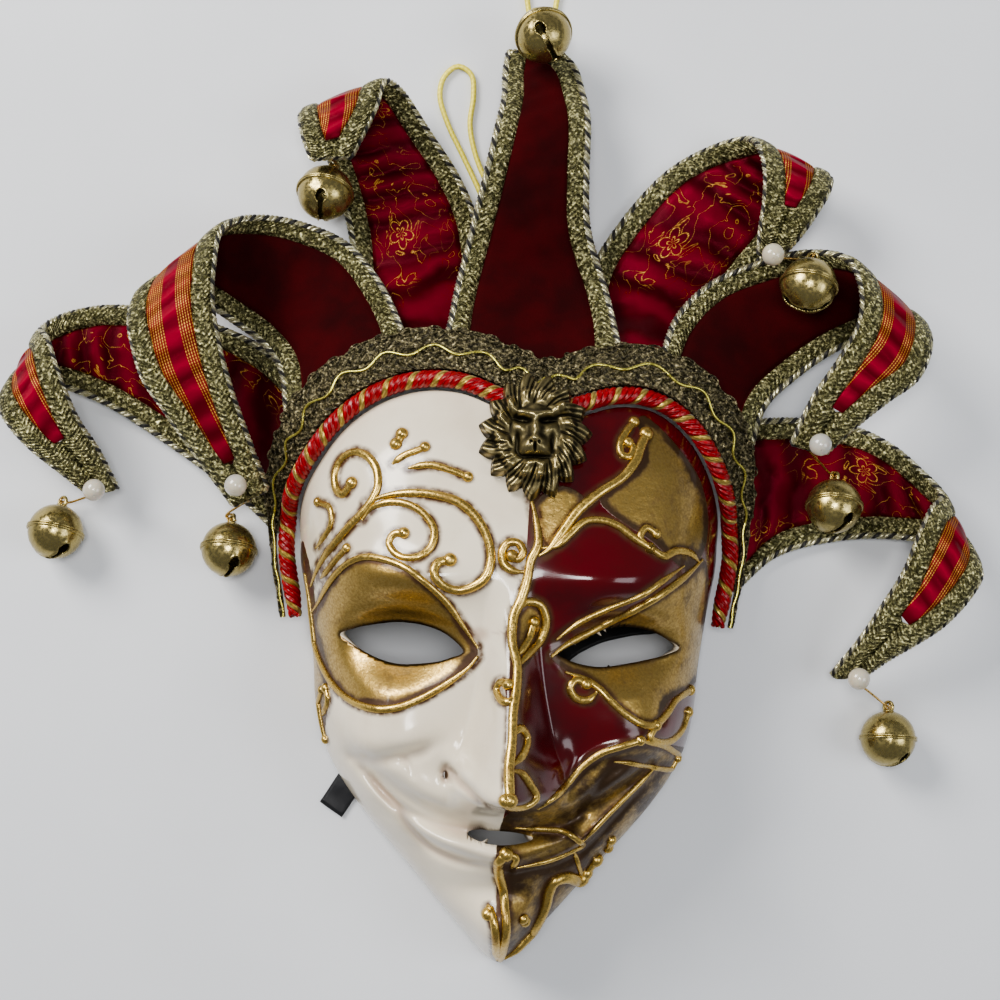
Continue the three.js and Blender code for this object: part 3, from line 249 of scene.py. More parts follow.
def face_height(x, y, fine=False):
    dx, dy = x - FACE_X, y - FACE_Y
    share = np.minimum(1, np.hypot(dx, dy) / head_radius(np.arctan2(dy, dx)))
    cheek = CHEEK_ARCH * np.sin(np.clip((-dy - 14) / (CHIN_DROP - 30), 0, 1) * math.pi) ** 2
    dome = np.sqrt(np.maximum(0, 1 - share**3))
    fade = 1 - smooth(0.86, 0.99, share)
    features = feature_height(x, y, fine) + (folds(x, y) if fine else 0)
    return cheek + (profile_height(dy) - cheek) * dome + features * fade


def edge_height(angle):
    radius = edge_radius(angle)
    return face_height(FACE_X + radius * np.cos(angle), FACE_Y + radius * np.sin(angle))


def beside_edge(angle, distance):
    angle = np.asarray(angle, float)

    def at(turn):
        return np.stack([np.cos(turn), np.sin(turn)], -1) * edge_radius(turn)[..., None]

    along = unit(at(angle + 0.01) - at(angle - 0.01))
    point = at(angle) + (FACE_X, FACE_Y)
    return point + np.stack([along[..., 1], -along[..., 0]], -1) * np.asarray(distance, float)[..., None]


def skirt_height(x, y):
    dx, dy = x - FACE_X, y - FACE_Y
    angle = np.arctan2(dy, dx)
    away = np.hypot(dx, dy) - edge_radius(angle)
    bridge = math.radians(6)
    soft = sum(edge_height(angle + step * bridge) for step in (-2, -1, 0, 1, 2)) / 5
    return SKIRT_REST + np.maximum(0, soft - SKIRT_REST) * (1 - smooth(2, SKIRT_FALL, away))


def skirt_slope(x, y):
    slope_x = (skirt_height(x + 1, y) - skirt_height(x - 1, y)) / 2
    slope_y = (skirt_height(x, y + 1) - skirt_height(x, y - 1)) / 2
    return np.sqrt(1 + slope_x**2 + slope_y**2)


# Places in the photograph as places on the face
def from_view(u, v, height):
    a, b = u - 500, 500 - v
    k = (CAMERA[2] - height) / FOCAL
    x = CAMERA[0] + (a * math.cos(ROLL) - b * math.sin(ROLL)) * k
    y = CAMERA[1] + (a * math.sin(ROLL) + b * math.cos(ROLL)) * k
    return x, y


def on_face(places):
    places = np.asarray(places, float)
    height = np.full(len(places), 60.0)
    for _ in range(12):
        x, y = from_view(places[:, 0], places[:, 1], height)
        height = 0.5 * height + 0.5 * face_height(x, y)
    return np.stack([x, y], 1)


fold_lines = [(*sizes, even(on_face(places), 0.5)) for *sizes, places in FOLDS]


def signed_distance(x, y, polygon):
    """Distance to a closed outline, positive inside."""
    ends = np.roll(polygon, -1, axis=0)
    best = np.full(x.shape, 1e9)
    inside = np.zeros(x.shape, bool)
    for (x1, y1), (x2, y2) in zip(polygon, ends):
        ex, ey = x2 - x1, y2 - y1
        share = np.clip(((x - x1) * ex + (y - y1) * ey) / max(1e-9, ex * ex + ey * ey), 0, 1)
        best = np.minimum(best, np.hypot(x - x1 - share * ex, y - y1 - share * ey))
        crosses = (y1 > y) != (y2 > y)
        inside ^= crosses & (x < ex * (y - y1) / (ey if abs(ey) > 1e-9 else 1e-9) + x1)
    return np.where(inside, best, -best)


# Mesh making
def make(name, points, faces, material, attributes=None, smooth_shade=True, cover=(), slot=None):
    mesh = bpy.data.meshes.new(name)
    points = np.asarray(points, float)
    mesh.from_pydata(((points + SHIFT) / 1000).tolist(), [], [list(map(int, f)) for f in faces])
    mesh.validate()
    for key, values in (attributes or {}).items():
        layer = mesh.attributes.new(key, "FLOAT", "POINT")
        layer.data.foreach_set("value", np.asarray(values, np.float32).ravel())
    materials = material if isinstance(material, list) else [material]
    for entry in materials:
        mesh.materials.append(entry)
    if smooth_shade:
        mesh.shade_smooth()
    piece = bpy.data.objects.new(name, mesh)
    bpy.context.scene.collection.objects.link(piece)
    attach(piece, "root")
    if cover:
        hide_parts(*cover)
    return piece


def grid_faces(rows, columns, wrap=False, start=0):
    faces = []
    for row in range(rows - 1):
        for column in range(columns if wrap else columns - 1):
            a = start + row * columns + column
            b = start + row * columns + (column + 1) % columns
            faces.append((a, a + columns, b + columns, b))
    return faces


def frames_along(path, up=None):
    """Tangent, side and up at each point of a path; up follows the given normals or is carried along."""
    tangent = unit(np.gradient(path, axis=0))
    if up is None:
        start = np.array([0.0, 0.0, 1.0])
        if abs(tangent[0] @ start) > 0.9:
            start = np.array([1.0, 0.0, 0.0])
        ups = []
        for t in tangent:
            start = start - t * (start @ t)
            start = start / np.linalg.norm(start)
            ups.append(start)
        up = np.array(ups)
    else:
        up = unit(up - tangent * np.sum(up * tangent, axis=1, keepdims=True))
    return tangent, np.cross(tangent, up), up


class Parts:
    """Collects points, faces and attributes for one joined mesh."""

    def __init__(self, *keys):
        self.points, self.faces, self.slots, self.count = [], [], [], 0
        self.values = {key: [] for key in keys}

    def add(self, points, faces, slot=0, **values):
        points = np.asarray(points, float).reshape(-1, 3)
        self.faces += [tuple(np.add(face, self.count)) for face in faces]
        self.slots += [slot] * len(faces)
        self.points.append(points)
        self.count += len(points)
        for key, rows in self.values.items():
            rows.append(np.broadcast_to(np.asarray(values.get(key, 0.0), float).ravel(), (len(points),))
                        if np.size(values.get(key, 0.0)) in (1, len(points)) else np.zeros(len(points)))

    def tube(self, path, radius, sides=8, up=None, flat=1.0, slot=0, cap=True, **values):
        path = np.asarray(path, float)
        _, side, upward = frames_along(path, up)
        radius = np.broadcast_to(np.asarray(radius, float), (len(path),))
        angle = np.arange(sides) / sides * 2 * math.pi
        ring = (side[:, None, :] * np.cos(angle)[None, :, None] * radius[:, None, None]
                + upward[:, None, :] * np.sin(angle)[None, :, None] * radius[:, None, None] * flat)
        points = (path[:, None, :] + ring).reshape(-1, 3)
        faces = [f[::-1] for f in grid_faces(len(path), sides, wrap=True)]
        if cap:
            faces += [tuple(range(sides)), tuple(range(len(points) - 1, len(points) - 1 - sides, -1))]
        spread = {k: np.repeat(v, sides) if np.size(v) == len(path) else v for k, v in values.items()}
        self.add(points, faces, slot, **spread)

    def ball(self, centre, axes, bands=8, sides=12, slot=0, **values):
        rows = []
        for band in range(bands + 1):
            polar = math.pi * band / bands
            for step in range(sides):
                turn = 2 * math.pi * step / sides
                out = math.sin(polar)
                rows.append(centre + np.array([out * math.cos(turn), out * math.sin(turn), math.cos(polar)]) @ axes)
        self.add(rows, grid_faces(bands + 1, sides, wrap=True), slot, **values)

    def make(self, name, material, **kw):
        piece = make(name, np.vstack(self.points), self.faces, material,
                     {k: np.concatenate(v) for k, v in self.values.items()}, **kw)
        piece.data.polygons.foreach_set("material_index", self.slots[:len(piece.data.polygons)])
        return piece


# Materials: a small helper that builds node trees
class Finish:
    def __init__(self, name):
        self.material = bpy.data.materials.new(name)
        self.material.use_nodes = True
        self.tree = self.material.node_tree
        self.shader = self.tree.nodes["Principled BSDF"]
        self.place = self.tree.nodes.new("ShaderNodeTexCoord").outputs["Object"]

    def put(self, socket, value):
        if isinstance(value, bpy.types.NodeSocket):
            self.tree.links.new(value, socket)
        elif socket.type == "RGBA" and len(value) == 3:
            socket.default_value = (*value, 1)
        else:
            socket.default_value = value

    def set(self, **inputs):
        for key, value in inputs.items():
            self.put(self.shader.inputs[key.replace("_", " ")], value)

    def node(self, kind, inputs, output=0, **settings):
        node = self.tree.nodes.new(kind)
        for key, value in settings.items():
            setattr(node, key, value)
        for key, value in inputs.items():
            self.put(node.inputs[key], value)
        return node.outputs[output]

    def attr(self, name):
        return self.node("ShaderNodeAttribute", {}, "Fac", attribute_name=name)

    def noise(self, scale, detail=4, place=None, rough=0.55):
        inputs = {"Vector": place or self.place, "Scale": scale, "Detail": detail, "Roughness": rough}
        return self.node("ShaderNodeTexNoise", inputs, "Fac")

    def cells(self, scale, output="Distance", place=None):
        return self.node("ShaderNodeTexVoronoi", {"Vector": place or self.place, "Scale": scale}, output)

    def ramp(self, value, low, high, start=0.0, end=1.0):
        inputs = {"Value": value, "From Min": low, "From Max": high, "To Min": start, "To Max": end}
        return self.node("ShaderNodeMapRange", inputs, "Result", interpolation_type="SMOOTHSTEP")

    def mix(self, share, one, other):
        node = self.tree.nodes.new("ShaderNodeMix")
        node.data_type = "RGBA"
        for key, value in ((0, share), (6, one), (7, other)):
            self.put(node.inputs[key], value)
        return node.outputs[2]

    def math(self, operation, one, other=0.5):
        return self.node("ShaderNodeMath", {0: one, 1: other}, operation=operation)

    def join(self, x, y, z=0.0):
        return self.node("ShaderNodeCombineXYZ", {0: x, 1: y, 2: z})

    def bump(self, height, strength=0.5, distance=0.0005, below=None):
        inputs = {"Height": height, "Strength": strength, "Distance": distance}
        if below is not None:
            inputs["Normal"] = below
        return self.node("ShaderNodeBump", inputs, "Normal")


def gold_finish(name, base=(0.52, 0.33, 0.1), dark=(0.12, 0.055, 0.012), wear=0.5, rough=0.34):
    """Gilt paint: metallic, mottled, with brown patina in random patches."""
    f = Finish(name)
    patches = f.noise(95, 6)
    grain = f.noise(900, 3)
    patina = f.ramp(patches, wear, wear + 0.22)
    f.set(Base_Color=f.mix(patina, base, dark), Metallic=f.ramp(patina, 0, 1, 0.92, 0.55),
          Roughness=f.ramp(grain, 0.3, 0.75, rough - 0.1, rough + 0.18))
    f.set(Normal=f.bump(f.math("ADD", f.math("MULTIPLY", grain, 0.4), patches), 0.35, 0.0004))
    return f


relief_gold = gold_finish("relief_gold", (0.56, 0.39, 0.12), (0.2, 0.11, 0.03), 0.54, 0.28).material

# Gold elastic: one slack loop and one long one, laid on the floor behind the crown
HANG_ROUTE = np.array([
    (5, 68, 48), (3, 80, 36), (0, 96, 20), (-3, 116, 6), (-5, 134, 1.4), (-8, 152, 1.3), (-14, 166, 1.3),
    (-20, 178, 1.3), (-26, 190, 1.3), (-29, 200, 1.3), (-27.5, 207, 1.3), (-22.5, 211, 1.3), (-17.5, 208, 1.3),
    (-16.5, 200, 1.3), (-17.5, 189, 1.3), (-14, 175, 1.3), (-7, 163, 1.3), (0, 160, 1.3), (5, 166, 1.3),
    (6.5, 180, 1.3), (6, 200, 1.3), (5, 220, 1.3), (2, 240, 1.3), (0, 256, 1.3), (3, 266, 1.3), (10, 269, 1.3),
    (16, 264, 1.3), (17, 252, 1.3), (13.5, 236, 1.3), (12, 216, 1.3), (12.5, 196, 1.3), (14, 172, 1.3),
    (14, 150, 1.3), (13.5, 132, 1.6), (13, 114, 6), (13, 96, 20), (13, 80, 36), (12, 68, 48),
], float)
hang_path = even(HANG_ROUTE, 1.6)
elastic = Finish("gold_elastic")
wound = elastic.math("ADD", elastic.math("MULTIPLY", elastic.attr("run"), 3.6), elastic.attr("turn"))
strand = elastic.math("SINE", wound)
elastic.set(Base_Color=elastic.mix(elastic.ramp(strand, -0.6, 0.6), (0.76, 0.65, 0.085), (0.84, 0.74, 0.12)),
            Metallic=0.15, Roughness=0.4, Normal=elastic.bump(strand, 0.12, 0.0002))
cord_parts = Parts("run", "turn")
cord_parts.tube(hang_path, 1.0, 8, run=np.arange(len(hang_path)) * 1.6)
cord_parts.values["turn"] = [np.tile(np.arange(8) / 8 * 2 * math.pi, len(hang_path))]
hang_cord = cord_parts.make("elastic_loops", elastic.material, cover=("hang_cord",), slot="elastic")

# Black satin ties: each ribbon laid flat under the shell
TIE_ROUTES = {
    "tie_left": [(-62, 14, 1), (-56, 24, 0.9), (-44, 30, 0.9), (-26, 28, 0.9), (-10, 20, 0.9), (-4, 6, 0.9),
                 (-4, -10, 0.9), (-8, -24, 0.9), (-20, -33, 0.9), (-36, -38, 0.9), (-52, -50, 0.9), (-63, -66, 0.9)],
    "tie_right": [(67.8, 15, 1), (58, 8, 0.9), (46, 6, 0.9), (32, 2, 0.9), (20, -6, 0.9), (14, -18, 0.9),
                  (20, -30, 0.9), (32, -36, 0.9), (42, -30, 0.9), (44, -20, 0.9), (36, -14, 0.9)],
}
satin = Finish("black_satin")
weave = satin.math("SINE", satin.math("MULTIPLY", satin.attr("across"), 42))
satin.set(Base_Color=(0.006, 0.006, 0.008), Roughness=satin.ramp(satin.noise(300), 0.3, 0.7, 0.28, 0.45),
          Sheen_Weight=0.3, Normal=satin.bump(weave, 0.3, 0.0001))
for tie, route in TIE_ROUTES.items():
    path = even(route, 1.5)
    _, side, _ = frames_along(path, np.tile([0.0, 0.0, 1.0], (len(path), 1)))
    shares = np.linspace(-TIE_HALF_WIDTH, TIE_HALF_WIDTH, 9)
    ribbon = Parts("across")
    wave = 0.25 * np.sin(np.arange(len(path)) * 0.35)
    top = path[:, None, :] + side[:, None, :] * shares[None, :, None]
    top[:, :, 2] += 0.3 + np.abs(wave)[:, None] * np.cos(shares / TIE_HALF_WIDTH * 1.4)[None, :]
    low = top.copy()
    low[:, :, 2] -= 0.35
    across = np.tile(shares, len(path))
    count = len(path) * 9
    faces = grid_faces(len(path), 9) + [f[::-1] for f in grid_faces(len(path), 9, start=count)]
    for row in range(len(path) - 1):
        for column, flip in ((0, False), (8, True)):
            a, b = row * 9 + column, (row + 1) * 9 + column
            quad = (a, a + count, b + count, b)
            faces.append(quad if not flip else quad[::-1])
    for column in range(8):
        a = column
        faces.append((a, a + 1, a + 1 + count, a + count))
        b = (len(path) - 1) * 9 + column
        faces.append((b, b + count, b + 1 + count, b + 1))
    ribbon.add(np.vstack([top.reshape(-1, 3), low.reshape(-1, 3)]), faces, across=np.tile(across, 2))
    piece = ribbon.make("ribbon_" + tie, satin.material, cover=(tie,), slot="ribbon")

# Painted regions of the face, by places in the photograph
SPLIT = [(530, 380), (530, 495), (523, 600), (505, 690), (513, 740), (510, 800), (497, 850), (497, 1000),
         (820, 1000), (820, 380)]
GOLD_REGIONS = [
    [(640, 415), (700, 480), (707, 540), (690, 570), (650, 540), (620, 520), (600, 500), (640, 462)],
    [(534, 505), (560, 486), (585, 500), (562, 540), (543, 552)],
    [(550, 655), (580, 635), (620, 615), (650, 600), (680, 580), (704, 560), (706, 620), (700, 670),
     (690, 690), (670, 700), (655, 725), (640, 728), (620, 710), (600, 690), (565, 670)],
    [(512, 812), (560, 790), (590, 760), (640, 740), (700, 758), (720, 800), (640, 880), (560, 960),
     (490, 1000), (494, 850)],
    [(318, 605), (325, 590), (335, 575), (345, 562), (365, 557), (385, 560), (405, 568), (425, 582),
     (445, 600), (460, 622), (478, 650), (470, 665), (445, 683), (420, 697), (395, 706), (370, 706),
     (345, 697), (328, 678), (318, 650), (312, 620)],
    [(515, 612), (527, 602), (541, 606), (547, 622), (539, 645), (522, 668), (514, 650)],
    [(302, 540), (312, 575), (318, 640), (328, 690), (322, 745), (308, 720), (300, 640)],
]
# Eye and mouth openings, by their corners and lids
LEFT_EYE = [(340, 634), (355, 628), (370, 625), (400, 622), (430, 627), (450, 637), (463, 652), (450, 658),
            (435, 662), (400, 664), (380, 659), (362, 650), (348, 641)]
RIGHT_EYE = [(557, 653), (575, 641), (590, 634), (620, 627), (650, 631), (668, 640), (679, 648), (665, 655),
             (650, 659), (625, 664), (600, 667), (580, 664), (566, 659)]
MOUTH = [(466, 834), (482, 831), (500, 831), (518, 833), (533, 839), (518, 844), (500, 845), (482, 842)]


def region(places):
    return even(on_face(places), 1.0, closed=True)[:-1]


def cut_faces(faces, inside, outside):
    """Faces outside the openings; a face that spans a rim is split along it first."""
    kept = []
    for face in faces:
        if outside[list(face)].all():
            kept.append(face)
            continue
        pieces = [face]
        if len(face) == 4:
            a, b, c, d = face
            spans = (inside[a] and outside[c]) or (outside[a] and inside[c])
            one_side = (inside[a] and not inside[c]) or (inside[c] and not inside[a])
            pieces = [(b, c, d), (b, d, a)] if spans or one_side else [(a, b, c), (a, c, d)]
        kept += [piece for piece in pieces if not inside[list(piece)].any() and outside[list(piece)].any()]
    return kept


def weld(faces, x, y, on_rim):
    """Faces with coincident rim points joined, without those that collapse."""
    first, same = {}, np.arange(len(x))
    for spot in np.flatnonzero(on_rim):
        same[spot] = first.setdefault((round(x[spot], 3), round(y[spot], 3)), spot)
    joined = [tuple(dict.fromkeys(int(same[spot]) for spot in face)) for face in faces]
    return [face for face in joined if len(face) > 2]


def face_mesh():
    spokes, rings = 400, 130
    even_share = np.linspace(0, 1, rings + 1)[1:]
    share = np.sin(even_share * math.pi / 2) * 0.55 + even_share * 0.45
    turn = np.arange(spokes) / spokes * 2 * math.pi
    angle = turn - 0.3 * np.cos(turn)
    radius = edge_radius(angle)[None, :] * share[:, None]
    x = np.concatenate([[FACE_X], (FACE_X + radius * np.cos(angle)).ravel()])
    y = np.concatenate([[FACE_Y], (FACE_Y + radius * np.sin(angle)).ravel()])
    holes = [even(on_face(o), 0.2, closed=True)[:-1] for o in (LEFT_EYE, RIGHT_EYE, MOUTH)]
    inside, on_rim = np.zeros(x.shape, bool), np.zeros(x.shape, bool)
    for hole in holes:
        spots = np.flatnonzero(near_box(x, y, hole, 3))
        distance = signed_distance(x[spots], y[spots], hole[::3])
        inside[spots] |= distance > 0
        for spot in spots[np.abs(distance) < 0.6]:
            gaps = np.hypot(hole[:, 0] - x[spot], hole[:, 1] - y[spot])
            x[spot], y[spot] = hole[gaps.argmin()]
            on_rim[spot] = True
    z = face_height(x, y, fine=True)
    faces = [(0, 1 + s, 1 + (s + 1) % spokes) for s in range(spokes)]
    for ring in range(rings - 1):
        a = 1 + ring * spokes + np.arange(spokes)
        b = 1 + ring * spokes + (np.arange(spokes) + 1) % spokes
        faces += list(zip(a, a + spokes, b + spokes, b))
    faces = cut_faces(faces, inside & ~on_rim, ~inside & ~on_rim)
    return np.stack([x, y, z], 1), weld(faces, x, y, on_rim), [hole[::3] for hole in holes]


points, faces, holes = face_mesh()
fx, fy = points[:, 0], points[:, 1]
red = signed_distance(fx, fy, on_face(SPLIT))
gold = np.full(fx.shape, -99.0)
gold_parts = []
for index, places in enumerate(GOLD_REGIONS):
    distance = signed_distance(fx, fy, region(places))
    if index < 4:
        distance = np.minimum(distance, red + 0.3)
    gold_parts.append(distance)
    gold = np.maximum(gold, distance)
# Crease depth of the folds: it drives the painted shade in the creases, with some antiquing, and adds to the gold's
# patina
crease = np.clip(-folds(fx, fy) / 3.6, -1, 1) * np.where(red < 0, 1 - 0.4 * smooth(-8, -1, red), 1)
# Painted shade spots: the nostril, the inner eye corners, the nose root, the chin and the mouth corner are darkened
# through the crease depth
spots = on_face([(445, 776), (478, 634), (470, 655), (505, 633), (497, 962), (462, 834)])
SHADE_SPOT_SIZES = ((1.5, 2.2, 2.4), (4, 2.6, 1.1), (4, 3, 0.8), (7, 0.6, 0.8), (3, 9, 0.7), (5, 2, 0.6))
for (x, y), (half_x, half_y, depth) in zip(spots, SHADE_SPOT_SIZES):
    crease = np.maximum(crease, depth * lump(fx - x, fy - y, half_x, half_y))
aged = smooth(-3, 3, gold_parts[3]) + 0.35 * smooth(-3, 2, gold_parts[0]) + 0.3 * smooth(-3, 3, gold_parts[2])

# Raised scrolls: routes by places in the photograph, with a width and end bulbs
SCROLL_LIMIT, SCROLL_ROUND = 0.96, 0.62
SCROLLS = [
    (2.4, [(352, 483), (343, 494), (337, 490), (335, 475), (341, 460), (354, 452), (367, 456), (376, 468),
           (378, 485), (372, 500), (362, 513), (350, 526), (338, 540), (325, 556), (316, 572),
           (311, 586)], (1, 0)),
    (2.6, [(366, 503), (385, 496), (410, 493), (435, 495), (460, 503), (478, 520), (488, 540), (491, 560),
           (485, 578), (470, 588), (455, 590), (440, 583), (434, 572), (438, 563), (450, 560)], (0, 1)),
    (2.2, [(362, 520), (372, 508), (390, 502), (410, 505), (425, 515), (434, 530), (432, 545), (422, 555),
           (407, 558), (395, 553), (389, 543), (394, 534), (404, 533)], (0, 1)),
    (2.4, [(396, 444), (399, 440), (402, 434)], (1, 1)),
    (2.0, [(392, 464), (405, 455), (416, 451), (425, 447)], (0, 1)),
    (2.0, [(408, 468), (430, 465), (450, 470), (468, 477)], (0, 1)),
    (1.8, [(318, 502), (330, 508), (331, 525), (322, 540), (316, 548)], (1, 0)),
    (1.8, [(347, 548), (336, 560), (328, 570), (321, 578)], (1, 0)),
    (2.2, [(300, 566), (306, 600), (312, 632), (318, 655), (330, 680), (347, 698), (370, 708), (395, 708),
           (420, 699), (445, 685), (468, 668), (478, 656)], (0, 0)),
    (2.0, [(312, 612), (318, 603), (326, 588), (337, 573), (350, 562), (366, 557), (386, 560), (406, 568),
           (426, 583), (446, 602), (462, 624), (478, 648)], (0, 0)),
    (1.8, [(322, 690), (318, 706), (320, 722), (316, 738)], (1, 1)),
    (2.0, [(323, 715), (328, 700), (326, 688)], (0, 1)),
    (2.8, [(531, 498), (536, 520), (538, 545), (531, 560), (527, 580), (521, 600), (514, 615), (512, 640),
           (517, 665), (516, 690), (513, 712), (512, 740), (509, 770), (510, 800)], (0, 1)),
    (2.4, [(524, 572), (514, 571), (504, 564), (502, 552), (508, 543), (518, 543), (523, 552), (518, 559),
           (512, 556)], (0, 1)),
    (2.6, [(516, 668), (527, 655), (540, 640), (546, 620), (540, 605), (527, 602), (517, 612)], (0, 0)),
    (2.2, [(518, 655), (528, 640), (534, 622)], (0, 1)),
    (2.2, [(517, 690), (512, 700), (502, 700), (497, 690), (501, 682), (508, 684)], (0, 1)),
    (2.4, [(512, 735), (520, 728), (527, 738), (524, 752), (513, 765)], (0, 0)),
    (2.4, [(511, 770), (520, 772), (530, 785), (536, 798), (524, 806), (510, 806), (505, 800)], (0, 1)),
    (2.2, [(634, 422), (626, 432), (620, 444), (622, 455), (630, 456), (633, 447), (628, 443)], (1, 1)),
    (2.8, [(646, 434), (640, 448), (636, 460), (622, 478), (602, 491), (590, 500), (577, 512), (560, 535),
           (548, 550), (538, 556)], (1, 0)),
    (2.2, [(541, 548), (556, 546), (570, 534), (584, 522), (600, 520), (618, 526), (634, 538),
           (650, 548)], (0, 1)),
    (2.2, [(650, 548), (664, 556), (676, 551), (690, 553), (699, 562)], (1, 0)),
    (2.0, [(648, 547), (640, 538), (646, 528), (656, 534)], (0, 1)),
    (2.4, [(551, 657), (566, 645), (590, 632), (618, 618), (645, 604), (670, 588), (690, 572),
           (702, 560)], (0, 0)),
    (1.8, [(556, 640), (580, 622), (610, 608), (640, 596), (664, 580), (684, 566)], (0, 0)),
    (2.2, [(565, 672), (582, 678), (598, 688), (612, 702), (628, 716), (645, 725), (656, 724), (668, 712),
           (676, 700), (690, 690)], (0, 1)),
    (2.2, [(597, 692), (588, 700), (576, 698), (570, 688), (576, 680), (586, 684)], (0, 1)),
    (2.2, [(656, 725), (650, 738), (668, 742), (682, 730), (688, 712)], (1, 1)),
    (2.0, [(538, 808), (552, 798), (566, 784), (576, 772), (584, 764), (602, 752), (620, 746),
           (640, 740)], (0, 1)),
    (1.8, [(640, 740), (662, 745), (684, 757)], (0, 1)),
    (1.6, [(684, 757), (676, 767), (655, 768), (630, 764), (614, 762)], (1, 0)),
    (1.7, [(654, 769), (640, 782), (620, 802), (600, 822), (583, 840)], (0, 0)),
    (1.8, [(514, 827), (538, 829), (564, 832), (576, 838), (583, 846), (574, 850), (556, 857), (536, 863),
           (516, 868)], (0, 0)),
    (1.4, [(574, 852), (578, 864), (582, 878)], (0, 0)),
    (3.6, [(582, 881), (568, 878), (555, 882), (549, 892), (545, 908), (536, 926), (526, 942), (514, 956),
           (504, 965)], (1, 0)),
    (3.0, [(586, 874), (591, 866), (596, 860)], (1, 1)),
    (2.2, [(608, 848), (611, 840)], (1, 1)),
    (2.8, [(506, 854), (499, 862), (499, 874), (503, 890), (505, 910), (506, 930), (503, 948),
           (499, 965)], (1, 0)),
    (2.0, [(506, 854), (516, 858), (512, 868)], (1, 0)),
    (2.2, [(523, 919), (525, 922)], (1, 1)),
    (2.6, [(497, 960), (496, 940), (494, 922), (489, 908), (488, 914)], (0, 1)),
]
scrolls = Parts()
scroll_lines = []


def within_rim(flat):
    """Plan points held a little inside the shell's rim, where the wall turns down."""
    away = flat - (FACE_X, FACE_Y)
    reach = np.hypot(away[:, 0], away[:, 1])
    limit = SCROLL_LIMIT * edge_radius(np.arctan2(away[:, 1], away[:, 0]))
    return (FACE_X, FACE_Y) + away * np.minimum(1, limit / reach)[:, None]


for width, places, bulbs in SCROLLS:
    flat = within_rim(even(on_face(places), 0.5))
    scroll_lines.append((flat[::2], width))
    height = face_height(flat[:, 0], flat[:, 1], fine=True)
    path = np.column_stack([flat, height])
    x, y = flat.T
    slope_x = face_height(x + 0.5, y, fine=True) - face_height(x - 0.5, y, fine=True)
    slope_y = face_height(x, y + 0.5, fine=True) - face_height(x, y - 0.5, fine=True)
    up = unit(np.column_stack([-slope_x, -slope_y, np.ones(len(flat))]))
    run = np.linspace(0, 1, len(path))
    taper = 1 + 0.05 * np.sin(np.arange(len(path)) * 0.11)
    for bulb, share in zip(bulbs, (run, 1 - run)):
        taper *= 1 if bulb else 0.35 + 0.65 * smooth(0, 0.2, share)
    scrolls.tube(path + up * 0.1, SCROLL_ROUND * width * taper, 10, up=up, flat=0.85)
    for end, place in ((bulbs[0], 0), (bulbs[1], -1)):
        if end:
            along = unit(np.cross(up[place], [1.0, 0.2, 0]))
            axes = np.array([along, unit(np.cross(up[place], along)), up[place]])
            size = width * 0.95
            scrolls.ball(path[place] + up[place] * 0.2, axes * np.array([[size], [size], [size * 0.85]]), 8, 12)
scrolls.make("relief_scrolls", relief_gold, slot="shell")
# Distance from each face point to the nearest scroll's side, for the painted shadow along the scrolls' feet
near_line = np.full(fx.shape, 99.0)
for flat, width in scroll_lines:
    for x, y in flat:
        box = (np.abs(fx - x) < 5) & (np.abs(fy - y) < 5)
        gap = np.hypot(fx[box] - x, fy[box] - y) - SCROLL_ROUND * width
        near_line[box] = np.minimum(near_line[box], gap)

face = Finish("painted_shell")
red_side = face.ramp(face.attr("red"), -0.12, 0.12)
ragged = face.math("MULTIPLY", face.math("SUBTRACT", face.noise(420, 3), 0.5), 0.9)
gilt = face.ramp(face.math("ADD", face.attr("gold"), ragged), -0.2, 0.2)
blotch = face.noise(38, 5)
fine_grain = face.noise(1100, 3)
# Ivory and red lacquer darkened with crease depth: painted shade in the creases and folds, with some antiquing brown
# on the ivory
crease_shade_and_dirt = face.ramp(face.attr("crease"), 0.05, 1.0)
ivory = face.mix(face.ramp(blotch, 0.35, 0.75), (0.8, 0.715, 0.57), (0.7, 0.61, 0.47))
ivory = face.mix(face.math("MULTIPLY", crease_shade_and_dirt, 0.6), ivory, (0.4, 0.27, 0.2))
# Near-black painted shadow where the crease depth is greatest: the nostril, the inner eye corner and the deepest
# folds
ivory = face.mix(face.ramp(face.attr("crease"), 0.95, 1.9), ivory, (0.045, 0.022, 0.01))
lacquer = face.mix(face.ramp(blotch, 0.4, 0.7), (0.085, 0.0008, 0.003), (0.042, 0.0004, 0.0012))
lacquer = face.mix(face.math("MULTIPLY", crease_shade_and_dirt, 0.8), lacquer, (0.02, 0.001, 0.001))
paint = face.mix(red_side, ivory, lacquer)
clouds = face.math("ADD", face.noise(70, 6, rough=0.65), face.math("MULTIPLY", face.noise(420, 3), 0.16))
stain = face.math("ADD", clouds, face.math("MULTIPLY", face.attr("crease"), 0.3))
edge_stain = face.ramp(face.attr("gold"), 0.3, 4.2, 0.36, 0)
stain = face.math("ADD", face.math("ADD", stain, edge_stain), face.math("MULTIPLY", face.attr("aged"), 0.2))
patina = face.ramp(stain, 0.59, 0.9)
leaf = face.mix(face.ramp(fine_grain, 0.3, 0.7), (0.52, 0.36, 0.12), (0.36, 0.235, 0.068))
leaf = face.mix(patina, leaf, (0.05, 0.024, 0.007))
colour = face.mix(gilt, paint, leaf)
